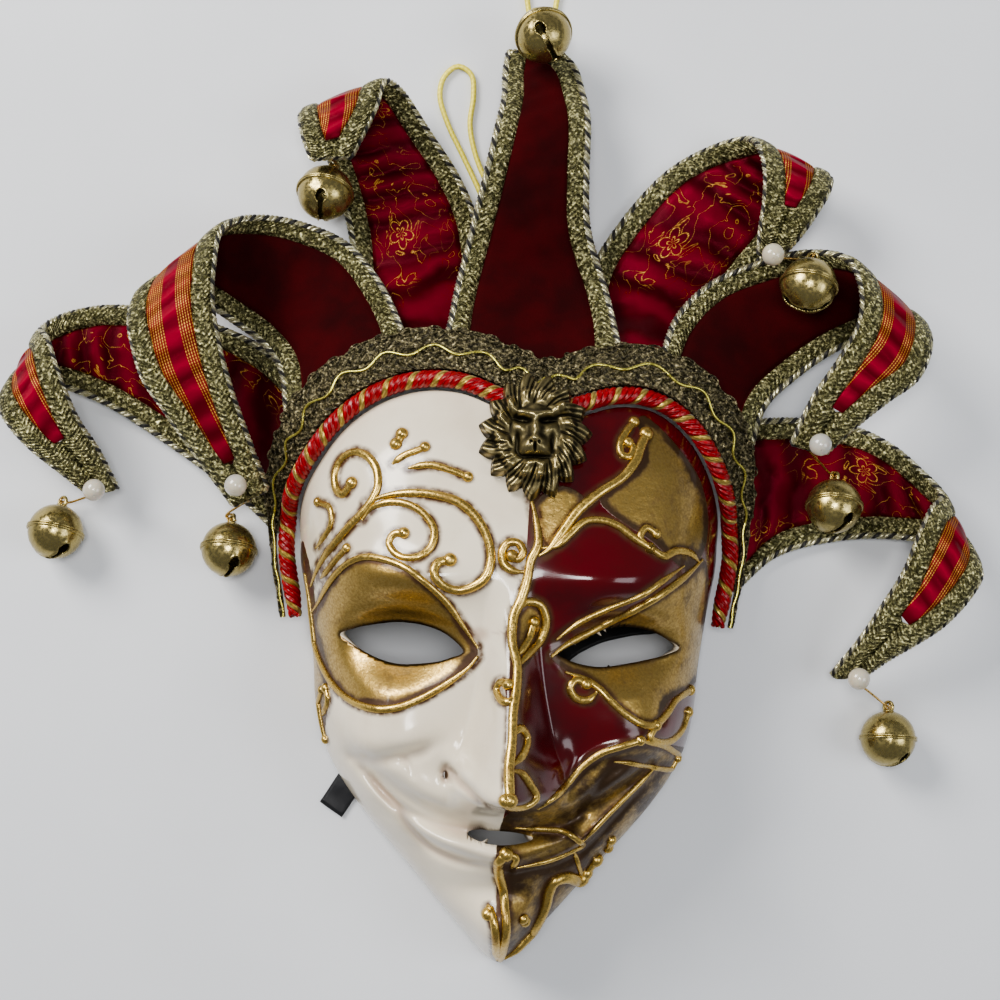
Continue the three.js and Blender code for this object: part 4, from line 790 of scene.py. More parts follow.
# Painted shadow along the foot of each raised scroll, with some antiquing, broken up by noise
scroll_foot_shade = face.ramp(face.attr("line"), 0.0, 1.9, 1, 0)
broken = face.ramp(face.noise(260, 3), 0.3, 0.6, 0.35, 1)
colour = face.mix(face.math("MULTIPLY", scroll_foot_shade, broken), colour, (0.07, 0.03, 0.012))
lid = face.ramp(face.attr("hole"), 0.2, 1.8, 0.85, 0)
colour = face.mix(lid, colour, (0.06, 0.032, 0.015))
metal = face.math("MULTIPLY", gilt, face.ramp(patina, 0, 1, 0.9, 0.4))
painted_rough = face.ramp(blotch, 0.3, 0.8, 0.14, 0.24)
gilt_rough = face.math("ADD", face.ramp(fine_grain, 0.3, 0.7, 0.27, 0.42), face.math("MULTIPLY", patina, 0.15))
rough = face.node("ShaderNodeMix", {0: gilt, 2: painted_rough, 3: gilt_rough})
face.set(Base_Color=colour, Metallic=metal, Roughness=rough, Coat_Weight=0.25, Coat_Roughness=0.06)
mottled = face.math("ADD", face.noise(330, 5), face.math("MULTIPLY", fine_grain, 0.4))
leaf_bump = face.math("MULTIPLY", mottled, gilt)
relief = face.math("ADD", face.noise(30, 3), face.math("MULTIPLY", leaf_bump, 0.5))
face.set(Normal=face.bump(relief, 0.42, 0.0008))

inner_paint = Finish("shell_inside")
mottle = inner_paint.ramp(inner_paint.noise(70, 5), 0.35, 0.7)
inner_paint.set(Base_Color=inner_paint.mix(mottle, (0.62, 0.55, 0.44), (0.5, 0.42, 0.32)), Roughness=0.85,
                Normal=inner_paint.bump(inner_paint.noise(160, 6), 0.5, 0.0008))
hole_gap = np.full(fx.shape, 99.0)
for hole in holes[:2]:
    box = near_box(fx, fy, hole, 4)
    hole_gap[box] = np.minimum(hole_gap[box], -signed_distance(fx[box], fy[box], hole))
shell = make("face_shell", points, faces, [face.material, inner_paint.material],
             {"red": red, "gold": gold, "crease": crease, "line": near_line, "hole": hole_gap, "aged": aged},
             cover=("mask_shell",), slot="shell")
wall = shell.modifiers.new("wall", "SOLIDIFY")
wall.thickness = SHELL_WALL * 0.0009
wall.offset = -1
wall.material_offset = 1
wall.material_offset_rim = 1

# Horns: a row for each section, two edges as shares of the reach from the seam's middle, and the lift
HORNS = {
    "left_low": (BACK_LAYER, "brocade", (125, 149), [
        (-0.22, 0.48, -0.24, -0.09, 0), (-0.54, 0.58, -0.54, 0.12, 0), (-0.76, 0.6, -0.76, 0.25, 0.02),
        (-0.91, 0.56, -0.94, 0.31, 0.06), (-0.97, 0.5, -1.06, 0.29, 0.14), (-0.93, 0.46, -1.09, 0.23, 0.22),
        (-0.88, 0.34, -1.05, 0.16, 0.26), (-0.81, 0.17, -0.97, 0.07, 0.24), (-0.75, 0.07, -0.89, 0, 0.19),
        (-0.69, -0.07, -0.79, -0.09, 0.1)]),
    "left_mid": (FRONT_LAYER, "velvet", (109, 137), [
        (0.16, 0.33, -0.24, 0.04, 0), (0.07, 0.5, -0.27, 0.18, 0), (-0.05, 0.64, -0.34, 0.27, 0.01),
        (-0.21, 0.71, -0.45, 0.35, 0.04), (-0.34, 0.73, -0.59, 0.43, 0.09), (-0.44, 0.71, -0.71, 0.45, 0.17),
        (-0.49, 0.65, -0.78, 0.41, 0.25), (-0.5, 0.54, -0.79, 0.33, 0.3), (-0.5, 0.4, -0.77, 0.24, 0.32),
        (-0.47, 0.23, -0.73, 0.12, 0.31), (-0.43, 0.09, -0.65, 0, 0.27), (-0.38, -0.06, -0.55, -0.15, 0.2),
        (-0.31, -0.26, -0.43, -0.32, 0.12)]),
    "left_top": (BACK_LAYER, "brocade", (97, 112), [
        (0.13, 0.39, -0.31, 0.25, 0), (0.09, 0.62, -0.36, 0.55, 0), (0.02, 0.77, -0.41, 0.73, 0.01),
        (-0.09, 0.93, -0.47, 0.87, 0.04), (-0.19, 1.06, -0.53, 0.96, 0.12), (-0.24, 1.07, -0.54, 0.94, 0.2),
        (-0.27, 0.96, -0.52, 0.86, 0.25), (-0.35, 0.79, -0.49, 0.78, 0.24)]),
    "center": (FRONT_LAYER, "velvet", (67, 105), [
        (0.3, 0.14, -0.3, 0.14, 0), (0.26, 0.34, -0.27, 0.34, 0.03), (0.19, 0.56, -0.22, 0.56, 0.09),
        (0.18, 0.74, -0.18, 0.73, 0.12), (0.18, 0.94, -0.14, 0.92, 0.11), (0.16, 1.05, -0.12, 1.03, 0.06),
        (0.13, 1.15, -0.12, 1.12, 0.01), (0.08, 1.21, -0.11, 1.21, -0.03)]),
    "right_top": (BACK_LAYER, "brocade", (57, 72), [
        (0.23, 0.23, -0.16, 0.47, 0), (0.36, 0.42, -0.06, 0.66, 0), (0.5, 0.6, 0.11, 0.86, 0.01),
        (0.61, 0.73, 0.27, 0.95, 0.04), (0.67, 0.82, 0.39, 0.97, 0.12), (0.68, 0.82, 0.42, 0.93, 0.2),
        (0.66, 0.76, 0.44, 0.83, 0.25), (0.62, 0.69, 0.44, 0.73, 0.26), (0.56, 0.6, 0.43, 0.63, 0.25),
        (0.5, 0.53, 0.43, 0.54, 0.21)]),
    "right_mid": (FRONT_LAYER, "velvet", (36, 63), [
        (0.19, -0.03, -0.14, 0.33, 0), (0.24, 0.17, -0.08, 0.48, 0), (0.36, 0.29, 0.05, 0.62, 0.01),
        (0.53, 0.41, 0.22, 0.7, 0.04), (0.71, 0.48, 0.39, 0.74, 0.12), (0.8, 0.47, 0.52, 0.71, 0.21),
        (0.8, 0.39, 0.56, 0.59, 0.29), (0.75, 0.28, 0.55, 0.47, 0.32), (0.65, 0.2, 0.48, 0.33, 0.31),
        (0.56, 0.12, 0.4, 0.2, 0.27), (0.46, 0.01, 0.34, 0.04, 0.18)]),
    "right_low": (BACK_LAYER, "brocade", (22, 52), [
        (0.22, -0.15, 0.18, 0.34, 0), (0.47, -0.08, 0.47, 0.33, 0), (0.67, -0.07, 0.63, 0.27, 0.02),
        (0.82, -0.09, 0.74, 0.17, 0.08), (0.92, -0.15, 0.8, 0.08, 0.16), (0.93, -0.2, 0.75, 0.03, 0.22),
        (0.88, -0.28, 0.7, -0.07, 0.25), (0.79, -0.38, 0.65, -0.2, 0.25), (0.7, -0.45, 0.58, -0.33, 0.22),
        (0.62, -0.51, 0.51, -0.46, 0.17), (0.55, -0.58, 0.43, -0.59, 0.09)]),
}


class Horn:
    """The middle surface of one horn, with the same edges as its solid."""

    def __init__(self, layer, seam, rows):
        rows = np.array(rows, float)
        self.layer, self.seam, self.rows = layer, seam, rows
        self.a, self.b = beside_edge(np.radians(seam), np.full(2, SEAM_OFFSET))
        root = (self.a + self.b) / 2
        lift = rows[:, 4] * HORN_REACH
        self.edge_a = np.vstack([[*self.a, 0], np.column_stack([rows[:, :2] * HORN_REACH + root, lift])])
        self.edge_b = np.vstack([[*self.b, 0], np.column_stack([rows[:, 2:4] * HORN_REACH + root, lift])])
        self.merge = 1.0
        while not self.is_open(self.merge):
            self.merge -= 0.01

    def point(self, along, across):
        along, across = np.broadcast_arrays(np.asarray(along, float).ravel(), np.asarray(across, float).ravel())
        side = across[:, None]
        plan = curve_at(self.edge_a, along) * (1 - side) + curve_at(self.edge_b, along) * side
        angle = np.radians(self.seam[0] + (self.seam[1] - self.seam[0]) * across)
        bulge = beside_edge(angle, np.full(len(across), SEAM_OFFSET)) - (self.a * (1 - side) + self.b * side)
        plan[:, :2] += bulge * (1 - smooth(0, 1.5 / len(self.rows), along))[:, None]
        cloth = skirt_height(plan[:, 0], plan[:, 1]) + self.layer * skirt_slope(plan[:, 0], plan[:, 1])
        plan[:, 2] += np.maximum(cloth, BRAID_HALF + CLEARANCE)
        return plan

    def ahead(self, along, across, step=0.02):
        along = np.asarray(along, float).ravel()
        return self.point(np.minimum(1, along + step), across) - self.point(np.maximum(0, along - step), across)

    def normal(self, along, across):
        across = np.asarray(across, float).ravel()
        wide = self.point(along, np.minimum(1, across + 0.2)) - self.point(along, np.maximum(0, across - 0.2))
        return unit(np.cross(self.ahead(along, across), wide))

    def inset(self, along, side, distance):
        along = np.asarray(along, float).ravel()
        ones = np.ones(len(along))
        across = self.point(along, ones) - self.point(along, 0 * ones)
        skew = np.linalg.norm(np.cross(unit(self.ahead(along, side * ones, 0.05)), unit(across)), axis=1)
        return distance / (np.linalg.norm(across, axis=1) * np.maximum(0.5, skew))

    def shares(self, along, distance):
        return self.inset(along, 0, distance), 1 - self.inset(along, 1, distance)

    def is_open(self, along):
        low, high = self.shares([along], BRAID_WIDTH + BRAID_GAP)
        return high[0] - low[0] > 0.12


def velvet_finish(name):
    f = Finish(name)
    pile = f.noise(1500, 4)
    drift = f.noise(45, 4)
    f.set(Base_Color=f.mix(f.ramp(drift, 0.3, 0.7), (0.05, 0.0012, 0.0022), (0.022, 0.0008, 0.0012)), Roughness=0.9,
          Sheen_Weight=0.35, Sheen_Roughness=0.4, Sheen_Tint=(0.6, 0.04, 0.05, 1), Specular_IOR_Level=0.12)
    f.set(Normal=f.bump(pile, 0.35, 0.0004, f.bump(drift, 0.3, 0.0012)))
    return f.material


def brocade_finish(name, stripes):
    """Red satin: woven gold flowers and leaves on the front, gold stripe bands on a tip's back."""
    f = Finish(name)
    across, run = f.attr("across"), f.attr("run")
    pleat = f.math("SINE", f.math("ADD", f.math("MULTIPLY", run, 0.62), f.math("MULTIPLY", f.noise(30, 3), 9)))
    # The satin's colour carries painted light and shade along the pleats: bright on their crests, deep in their
    # troughs, with random patches
    deep, bright = (0.03, 0.0006, 0.0018), (0.13, 0.001, 0.009)
    if stripes:
        deep, bright = (0.09, 0.0008, 0.005), (0.22, 0.002, 0.016)
    shade = f.math("ADD", pleat, f.math("MULTIPLY", f.noise(28, 3), 2.4))
    satin = f.mix(f.ramp(shade, 0.0, 2.4), deep, bright)
    if stripes:
        band = f.ramp(f.math("ABSOLUTE", across), 2.7, 3.3)
        thread = f.ramp(f.math("SINE", f.math("MULTIPLY", f.math("ABSOLUTE", across), 6.6)), 0.1, 0.7)
        stitch = f.ramp(f.math("SINE", f.math("MULTIPLY", run, 5.5)), -0.6, 0.0, 0.15, 1)
        satin = f.mix(f.math("MULTIPLY", band, 0.6), satin, (0.1, 0.016, 0.008))
        gold = f.math("MULTIPLY", f.math("MULTIPLY", band, thread), stitch)
    else:
        place = f.join(f.math("MULTIPLY", across, 0.001), f.math("MULTIPLY", run, 0.001))
        cell = f.node("ShaderNodeTexVoronoi", {"Vector": place, "Scale": 62.0, "Randomness": 0.8}, "Position")
        away = f.node("ShaderNodeVectorMath", {0: place, 1: cell}, operation="SUBTRACT")
        part = f.node("ShaderNodeSeparateXYZ", {0: away}, "X")
        other = f.node("ShaderNodeSeparateXYZ", {0: away}, "Y")
        turn = f.math("ARCTAN2", part, other)
        reach = f.math("MULTIPLY", f.node("ShaderNodeVectorMath", {0: away}, 1, operation="LENGTH"), 1000)
        petal = f.math("ABSOLUTE", f.math("SINE", f.math("MULTIPLY", turn, 2.5)))
        rim = f.math("SUBTRACT", reach, f.math("ADD", 2.6, f.math("MULTIPLY", petal, 2.2)))
        heart = f.math("SUBTRACT", reach, f.math("ADD", 1.1, f.math("MULTIPLY", petal, 1.3)))
        outline_line = f.math("MAXIMUM", f.ramp(f.math("ABSOLUTE", rim), 0.12, 0.3, 1, 0),
                              f.ramp(f.math("ABSOLUTE", heart), 0.1, 0.26, 1, 0))
        outline_line = f.math("MAXIMUM", outline_line, f.ramp(reach, 0.5, 0.8, 1, 0))
        vine_inputs = {"Vector": place, "Scale": 120.0, "Detail": 1.6, "Distortion": 1.2}
        vines = f.node("ShaderNodeTexNoise", vine_inputs, "Fac")
        veins = f.ramp(f.math("ABSOLUTE", f.math("SUBTRACT", vines, 0.5)), 0.004, 0.011, 0.8, 0)
        veins = f.math("MULTIPLY", veins, f.ramp(rim, 0.3, 0.6))
        spread = f.node("ShaderNodeTexNoise", {"Vector": place, "Scale": 30.0, "Detail": 0.0}, "Fac")
        patch = f.ramp(spread, 0.4, 0.5)
        stitch = f.ramp(f.math("SINE", f.math("MULTIPLY", f.math("ADD", run, across), 7)), -0.7, 0.2, 0.35, 1)
        worn = f.math("MULTIPLY", f.ramp(f.noise(700, 2), 0.32, 0.55, 0.3, 1), stitch)
        gold = f.math("MULTIPLY", f.math("MULTIPLY", f.math("MAXIMUM", outline_line, veins), patch), worn)
    f.set(Base_Color=f.mix(gold, satin, (0.55, 0.32, 0.07)), Metallic=f.math("MULTIPLY", gold, 0.7),
          Roughness=f.ramp(gold, 0, 1, 0.36, 0.42), Sheen_Weight=0.06, Sheen_Tint=(0.7, 0.03, 0.07, 1),
          Specular_IOR_Level=0.4, Specular_Tint=(0.95, 0.12, 0.2, 1))
    weave = f.math("SINE", f.math("MULTIPLY", across, 30))
    height = f.math("ADD", f.math("MULTIPLY", weave, 0.05), f.math("MULTIPLY", gold, 0.3))
    f.set(Normal=f.bump(height, 0.6, 0.0003, f.bump(pleat, 0.35, 0.0012)))
    return f.material


def braid_finish(name, bright=(0.92, 0.86, 0.46), middle=(0.15, 0.14, 0.05), deep=(0.045, 0.042, 0.014)):
    """Metallic braid: fine glittering wire with a herringbone rib along its middle."""
    f = Finish(name)
    across, run = f.attr("across"), f.attr("run")
    slant = f.math("MULTIPLY", f.math("ABSOLUTE", f.math("SUBTRACT", across, 3.4)), 2.6)
    rib = f.math("SINE", f.math("ADD", slant, f.math("MULTIPLY", run, 3.2)))
    flake = f.node("ShaderNodeTexVoronoi", {"Vector": f.place, "Scale": 1500.0}, "Color")
    spark = f.node("ShaderNodeSeparateColor", {"Color": flake}, "Red")
    loops = f.ramp(f.noise(650, 4), 0.36, 0.66)
    thread = f.mix(f.ramp(spark, 0.3, 0.95), middle, bright)
    woven = f.mix(loops, deep, thread)
    f.set(Base_Color=f.mix(f.ramp(rib, -0.95, -0.1, 0.6, 0), woven, (0.07, 0.06, 0.022)),
          Metallic=0.6, Roughness=f.ramp(spark, 0, 1, 0.22, 0.5))
    height = f.math("ADD", f.math("MULTIPLY", rib, 0.5), f.math("ADD", loops, f.math("MULTIPLY", spark, 0.6)))
    f.set(Normal=f.bump(height, 0.85, 0.0005))
    return f.material


def strand_finish(name, colour, dark, metallic=0.0, rough=0.4, twist=0.7, sheen=0.15):
    f = Finish(name)
    wound = f.math("ADD", f.math("MULTIPLY", f.attr("turn"), 6), f.math("MULTIPLY", f.attr("run"), twist))
    fibre = f.math("SINE", wound)
    speck = f.noise(900, 3)
    f.set(Base_Color=f.mix(f.math("MULTIPLY", f.ramp(fibre, -1, 1), f.ramp(speck, 0.25, 0.7)), dark, colour),
          Metallic=metallic, Roughness=rough, Sheen_Weight=sheen)
    f.set(Normal=f.bump(f.math("ADD", fibre, f.math("MULTIPLY", speck, 0.6)), 0.45, 0.0002))
    return f.material


velvet = velvet_finish("velvet")
satin_back = brocade_finish("striped_satin", True)
brocade = brocade_finish("brocade", False)
braid_wire = braid_finish("braid_wire")
silver_strand = strand_finish("edge_silver", (0.85, 0.82, 0.6), (0.34, 0.31, 0.17), 0.75, 0.3)
black_strand = strand_finish("edge_black", (0.035, 0.03, 0.022), (0.008, 0.007, 0.006), 0.2, 0.45)
red_strand = strand_finish("rope_red", (0.4, 0.003, 0.008), (0.2, 0.001, 0.003), 0.0, 0.3, sheen=0.0)
gold_strand = strand_finish("rope_gold", (0.72, 0.54, 0.16), (0.3, 0.2, 0.04), 0.7, 0.34)


def twisted(parts, path, up, strands, helix, radius, pitch, slots, sides=6, flat=1.0):
    """Strands wound round a path."""
    _, side, upward = frames_along(path, up)
    run = np.concatenate([[0], np.cumsum(np.linalg.norm(np.diff(path, axis=0), axis=1))])
    for strand in range(strands):
        phase = run / pitch * 2 * math.pi + strand / strands * 2 * math.pi
        centre = path + (side * np.cos(phase)[:, None] + upward * np.sin(phase)[:, None] * flat) * helix
        turns = np.tile(np.arange(sides) / sides * 2 * math.pi, len(path))
        parts.tube(centre, radius, sides, slot=slots[strand], run=run)
        parts.values["turn"][-1] = turns


def skin(surface, along, across, offset):
    return surface.point(along, across) + surface.normal(along, across) * np.asarray(offset)[:, None]


def closed_grid(front, back, rows, columns):
    count = rows * columns
    faces = grid_faces(rows, columns) + [f[::-1] for f in grid_faces(rows, columns, start=count)]
    border = ([(r * columns, (r + 1) * columns) for r in range(rows - 1)]
              + [((rows - 1) * columns + c, (rows - 1) * columns + c + 1) for c in range(columns - 1)]
              + [((r + 1) * columns + columns - 1, r * columns + columns - 1) for r in range(rows - 1)][::-1]
              + [(c + 1, c) for c in range(columns - 1)][::-1])
    faces += [(b, a, a + count, b + count) for a, b in border]
    return np.vstack([front, back]), faces


surfaces = {}
for name, (layer, cloth, seam, rows) in HORNS.items():
    surface = surfaces[name] = Horn(layer, seam, rows)
    reach = len(even(surface.point(np.linspace(0, 1, 40), np.full(40, 0.5)), 1.0))

    # Cloth between the braids, puffed and gently wrinkled
    count, columns = 110, 15
    alongs = np.linspace(0, surface.merge - 0.004, count)
    low, high = surface.shares(alongs, BRAID_WIDTH - 0.4)
    mix = np.linspace(0, 1, columns)
    along = np.repeat(alongs, columns)
    across = (low[:, None] + (high - low)[:, None] * mix[None, :]).ravel()
    puff = np.sqrt(np.maximum(0, 1 - (2 * np.tile(mix, count) - 1) ** 2))
    width = np.linalg.norm(surface.point(alongs, high) - surface.point(alongs, low), axis=1)
    sideways = ((mix[None, :] - 0.5) * width[:, None]).ravel()
    run = along * reach
    ripple = 0.3 * np.sin(run * 0.55 + 2.2 * np.sin(sideways * 0.16) + len(name)) * puff
    ripple *= 1.4 if cloth == "brocade" else 0.6
    front = skin(surface, along, across, 0.55 + 1.15 * puff + ripple)
    back = skin(surface, along, across, -0.55 - 0.9 * puff + 0.5 * ripple)
    points, faces = closed_grid(front, back, count, columns)
    top_faces = (count - 1) * (columns - 1)
    cloth_parts = Parts("across", "run")
    cloth_parts.add(points, faces, across=np.tile(sideways, 2), run=np.tile(run, 2))
    cloth_parts.slots = [0] * top_faces + [1] * (len(faces) - top_faces)
    piece = cloth_parts.make("cloth_" + name, [velvet if cloth == "velvet" else brocade, satin_back],
                             cover=("horn_" + name,), slot=cloth)

    # Braid along both edges and over the tip
    count = 150
    alongs = np.linspace(0, 1, count)
    low, high = surface.shares(alongs, BRAID_WIDTH)
    shut = alongs > surface.merge
    low, high = np.where(shut, 0.5, np.minimum(low, 0.5)), np.where(shut, 0.5, np.maximum(high, 0.5))
    ribbon = Parts("across", "run")
    for near, far in ((np.zeros(count), low), (np.ones(count), high)):
        mix = np.linspace(0, 1, 7)
        along = np.repeat(alongs, 7)
        across = (near[:, None] + (far - near)[:, None] * mix[None, :]).ravel()
        bow = np.tile(1 - (2 * mix - 1) ** 4, count)
        over = np.tile(mix, count) * BRAID_WIDTH
        front = skin(surface, along, across, 0.5 + 1.4 * bow)
        back = skin(surface, along, across, -0.5 - 1.2 * bow)
        points, faces = closed_grid(front, back, count, 7)
        if near[0] > 0:
            faces = [f[::-1] for f in faces]
        ribbon.add(points, faces, across=np.tile(over, 2), run=np.tile(along * reach, 2))
    ribbon.make("braid_band_" + name, braid_wire, cover=("braid_" + name,), slot="braid")

    # Twisted black and silver cord on the very edge
    tip = np.linspace(0, 1, 12)[1:-1]
    stops = ((alongs, 0 * alongs), (np.ones(10), tip), (alongs[::-1], np.ones(count)))
    edge = np.vstack([surface.point(*stop) for stop in stops])
    ups = np.vstack([surface.normal(*stop) for stop in stops])
    spaced = even(edge, 0.8)
    nearest = np.clip((np.linspace(0, 1, len(spaced)) * (len(ups) - 1)).astype(int), 0, len(ups) - 1)
    up = ups[nearest]
    piping = Parts("run", "turn")
    twisted(piping, spaced + up * 0.9, up, 3, 0.78, 0.66, 5.4, (0, 1, 0), 6)
    piping.make("edge_cord_" + name, [silver_strand, black_strand], slot="braid")

# Twisted cord along the shell's edge: three red strands and a thin gold one
TRIM_START, TRIM_END = math.radians(13), math.radians(167)
angles = np.linspace(TRIM_START, TRIM_END, 31)
rope_height = np.maximum(edge_height(angles), SKIRT_REST) + 0.8
route = np.column_stack([beside_edge(angles, np.full(31, CORD_OFFSET)), rope_height])
rope_path = even(route, 0.6)
ends = smooth(0, 0.03, np.linspace(0, 1, len(rope_path))) * smooth(0, 0.03, np.linspace(1, 0, len(rope_path)))
rope = Parts("run", "turn")
_, side, upward = frames_along(rope_path)
run = np.arange(len(rope_path)) * 0.6
STRANDS = [(0, 1.42, 1.72)] * 3 + [(1, 1.3, 1.8)]
for strand, (slot, radius, helix) in enumerate(STRANDS):
    phase = (run / ROPE_PITCH + strand / len(STRANDS)) * 2 * math.pi
    centre = rope_path + (side * np.cos(phase)[:, None] + upward * np.sin(phase)[:, None]) * helix
    rope.tube(centre, radius * (0.6 + 0.4 * ends), 12, slot=slot, run=run)
    rope.values["turn"][-1] = np.tile(np.arange(12) / 12 * 2 * math.pi, len(rope_path))
rope.make("twisted_cord", [red_strand, gold_strand], cover=("rim_cord",), slot="rope")

# Lace: a pleated metallic band with loops along its outer edge and two bright lines
lace_wire = braid_finish("lace_wire", (0.5, 0.43, 0.25), (0.1, 0.082, 0.043), (0.022, 0.018, 0.009))
lace_line = gold_finish("lace_line", (0.62, 0.56, 0.14), (0.3, 0.25, 0.06), 0.6, 0.28).material
LACE_START = CORD_OFFSET + CORD_RADIUS + 0.5
LACE_RADIUS = 88
rows, columns = 900, 15
angles = np.linspace(TRIM_START, TRIM_END, rows)
width = 1.6 + (LACE_WIDTH - 1.6) * smooth(0.45, 0.85, np.sin(angles))
wave = np.linspace(0, SCALLOP_COUNT, rows)
scallop = (1.3 * np.abs(np.sin(wave * math.pi)) ** 0.7 - 0.5) * np.minimum(1, width / 8)
ribs = np.sin(wave * 8 * math.pi)


def lace_point(angle, out, lift):
    plan = beside_edge(angle, LACE_START + out)
    return np.column_stack([plan, skirt_height(plan[:, 0], plan[:, 1]) + lift])


mix = np.linspace(0, 1, columns)
angle_grid = np.repeat(angles, columns)
out_grid = ((width + scallop)[:, None] * mix[None, :]).ravel()
rib_grid = (ribs[:, None] * (0.55 * np.sin(mix * math.pi) ** 0.6)[None, :]).ravel()
front, back = (lace_point(angle_grid, out_grid, rise + rib_grid) for rise in (0.35, -0.35))
band, band_faces = closed_grid(front, back, rows, columns)
band_faces = [f[::-1] for f in band_faces]
lace = Parts("across", "run")
lace.add(band, band_faces, across=np.tile(out_grid, 2), run=np.tile(angle_grid * LACE_RADIUS, 2))
lace.tube(lace_point(angles, width + scallop + 0.1, 0.5), 0.42, 6, run=angles * LACE_RADIUS)
for share, reach, slot, thick in ((0.5, 1.5, 1, 0.5), (0.5, -1.5, 0, 0.4)):
    line = width * share + reach * np.sin(wave * 2 * math.pi) * np.minimum(1, width / 10)
    lace.tube(lace_point(angles, line, 0.95), thick, 6, slot=slot, run=angles * LACE_RADIUS)
for loop in range(SCALLOP_COUNT * 2):
    at = (loop + 0.5) / (SCALLOP_COUNT * 2)
    angle = TRIM_START + (TRIM_END - TRIM_START) * at
    reach = float(np.interp(angle, angles, width))
    turn = np.linspace(0, 2 * math.pi, 14)
    radius = 1.35 * min(1, reach / 9)
    spin = angle + radius * np.cos(turn) / LACE_RADIUS
    picot = lace_point(spin, reach + 0.2 + radius * np.sin(turn), 0.75)
    lace.tube(picot, 0.36, 6, slot=0, cap=False, run=turn)
lace.make("lace_trim", [lace_wire, lace_line], cover=("lace_band",), slot="lace")

# Bells: place from the horn's end in bell radii, whether it rests, the way to its shank, and its turn
BELLS = {
    "left_low": ((-1.71, -1.53, 0), True, (0.13, 0.94, -0.31), -46),
    "left_mid": ((-0.87, -1.92, 0), True, (0.04, 0.94, -0.34), -63),
    "left_top": ((-0.3, -1.12, -1.1), False, (0.1, 0.85, -0.5), 80),
    "center": ((0.29, 0.33, 1.67), False, (-0.23, 0.62, -0.75), -80),
    "right_top": ((1.34, -1.11, 0.62), False, (0.17, 0.91, -0.38), -20),
    "right_mid": ((1.15, -2.02, -1.25), False, (0.07, 0.91, -0.42), -57),
    "right_low": ((1.49, -2.27, 0), True, (0.03, 0.98, -0.21), -45),
}
antique_brass = gold_finish("antique_brass", (0.38, 0.31, 0.13), (0.19, 0.14, 0.055), 0.56, 0.24).material
wire_brass = gold_finish("brass_wire", (0.62, 0.42, 0.16), (0.3, 0.18, 0.06), 0.6, 0.25).material
pearl_finish = Finish("pearl_lustre")
tint = pearl_finish.ramp(pearl_finish.noise(55, 3), 0.35, 0.7)
pearl_finish.set(Base_Color=pearl_finish.mix(tint, (0.58, 0.5, 0.37), (0.47, 0.44, 0.4)), Roughness=0.2,
                 Coat_Weight=0.7, Coat_Roughness=0.1, Subsurface_Weight=0.08, Sheen_Weight=0.2,
                 Normal=pearl_finish.bump(pearl_finish.noise(420, 3), 0.12, 0.0002))


def bell_turn(axis, turn):
    """Columns are the bell's own axes: slot side, across, and shank."""
    up = unit(np.array(axis, float))
    cross = np.cross([0.0, 0.0, 1.0], up)
    w = 1 + up[2]
    x, y = cross[0], cross[1]
    lean = np.array([[1 - y * y / w, x * y / w, up[0]], [x * y / w, 1 - x * x / w, up[1]],
                     [-up[0], -up[1], up[2]]])
    c, s = math.cos(math.radians(turn)), math.sin(math.radians(turn))
    return lean @ np.array([[c, -s, 0], [s, c, 0], [0, 0, 1]])


def bell_skin(radius, latitudes, longitudes):
    out = np.cos(latitudes)
    return radius * np.stack([out * np.cos(longitudes), out * np.sin(longitudes), np.sin(latitudes)], -1)


def bell_mesh(bell, turn, centre):
    """Half-round cups joined at a rolled seam; the lower cup has a slot with a round hole at each end."""
    rows, columns = 84, 128
    polar = np.linspace(-math.pi / 2, math.pi / 2, rows)
    spin = np.arange(columns) / columns * 2 * math.pi
    lat, lon = np.meshgrid(polar, spin, indexing="ij")
    local = bell_skin(BELL_RADIUS, lat, lon)
    local *= (1 + 0.004 * np.sin(3 * lon + centre[0]) * np.cos(lat) ** 2)[..., None]
    past_hole = np.abs(local[..., 0]) - BELL_RADIUS * SLOT_REACH
    slot_gap = np.where(past_hole < 0, np.abs(local[..., 1]) - SLOT_HALF_WIDTH, BELL_RADIUS)
    gap = np.minimum(slot_gap, np.hypot(past_hole, local[..., 1]) - SLOT_END_RADIUS)
    below = local[..., 2] < -1
    cut = below & (gap < 0)
    lip = 1 + 0.035 * np.exp(-(np.maximum(0, gap) / 0.5) ** 2) * (below & ~cut)
    outer = local * lip[..., None]
    inner = local * 0.93
    both = np.concatenate([outer.reshape(-1, 3), inner.reshape(-1, 3)]) @ turn.T + centre
    faces, count = [], rows * columns
    edges = set()
    for r in range(rows - 1):
        for c in range(columns):
            a, b = r * columns + c, r * columns + (c + 1) % columns
            quad = (a, b, b + columns, a + columns)
            if sum(cut.flat[k] for k in quad) >= 2:
                continue
            faces.append(quad)
            faces.append(tuple(k + count for k in quad[::-1]))
            edges.update(zip(quad, quad[1:] + quad[:1]))
    for p, q in sorted(edges):
        if (q, p) not in edges and 0 < p // columns < rows - 1:
            faces.append((q, p, p + count, q + count))
    bell.add(both, faces)
    ring = np.linspace(0, 2 * math.pi, 73)
    seam = np.stack([np.cos(ring), np.sin(ring), 0 * ring], -1)
    for height in (0.42, -0.42):
        line = (seam * (BELL_RADIUS + 0.12) + [0, 0, height]) @ turn.T + centre
        bell.tube(line, 0.5, 10, cap=False, up=np.tile(turn[:, 2], (73, 1)))
    top = np.array([0, 0, BELL_RADIUS])
    bell.ball(top @ turn.T + centre, np.diag([2.1, 2.1, 0.6]) @ turn.T, 8, 16)
    shank = np.stack([1.8 * np.cos(ring), 0 * ring, 1.8 * np.sin(ring) + BELL_RADIUS + SHANK_RISE], -1)
    bell.tube(shank @ turn.T + centre, 0.62, 10, cap=False)


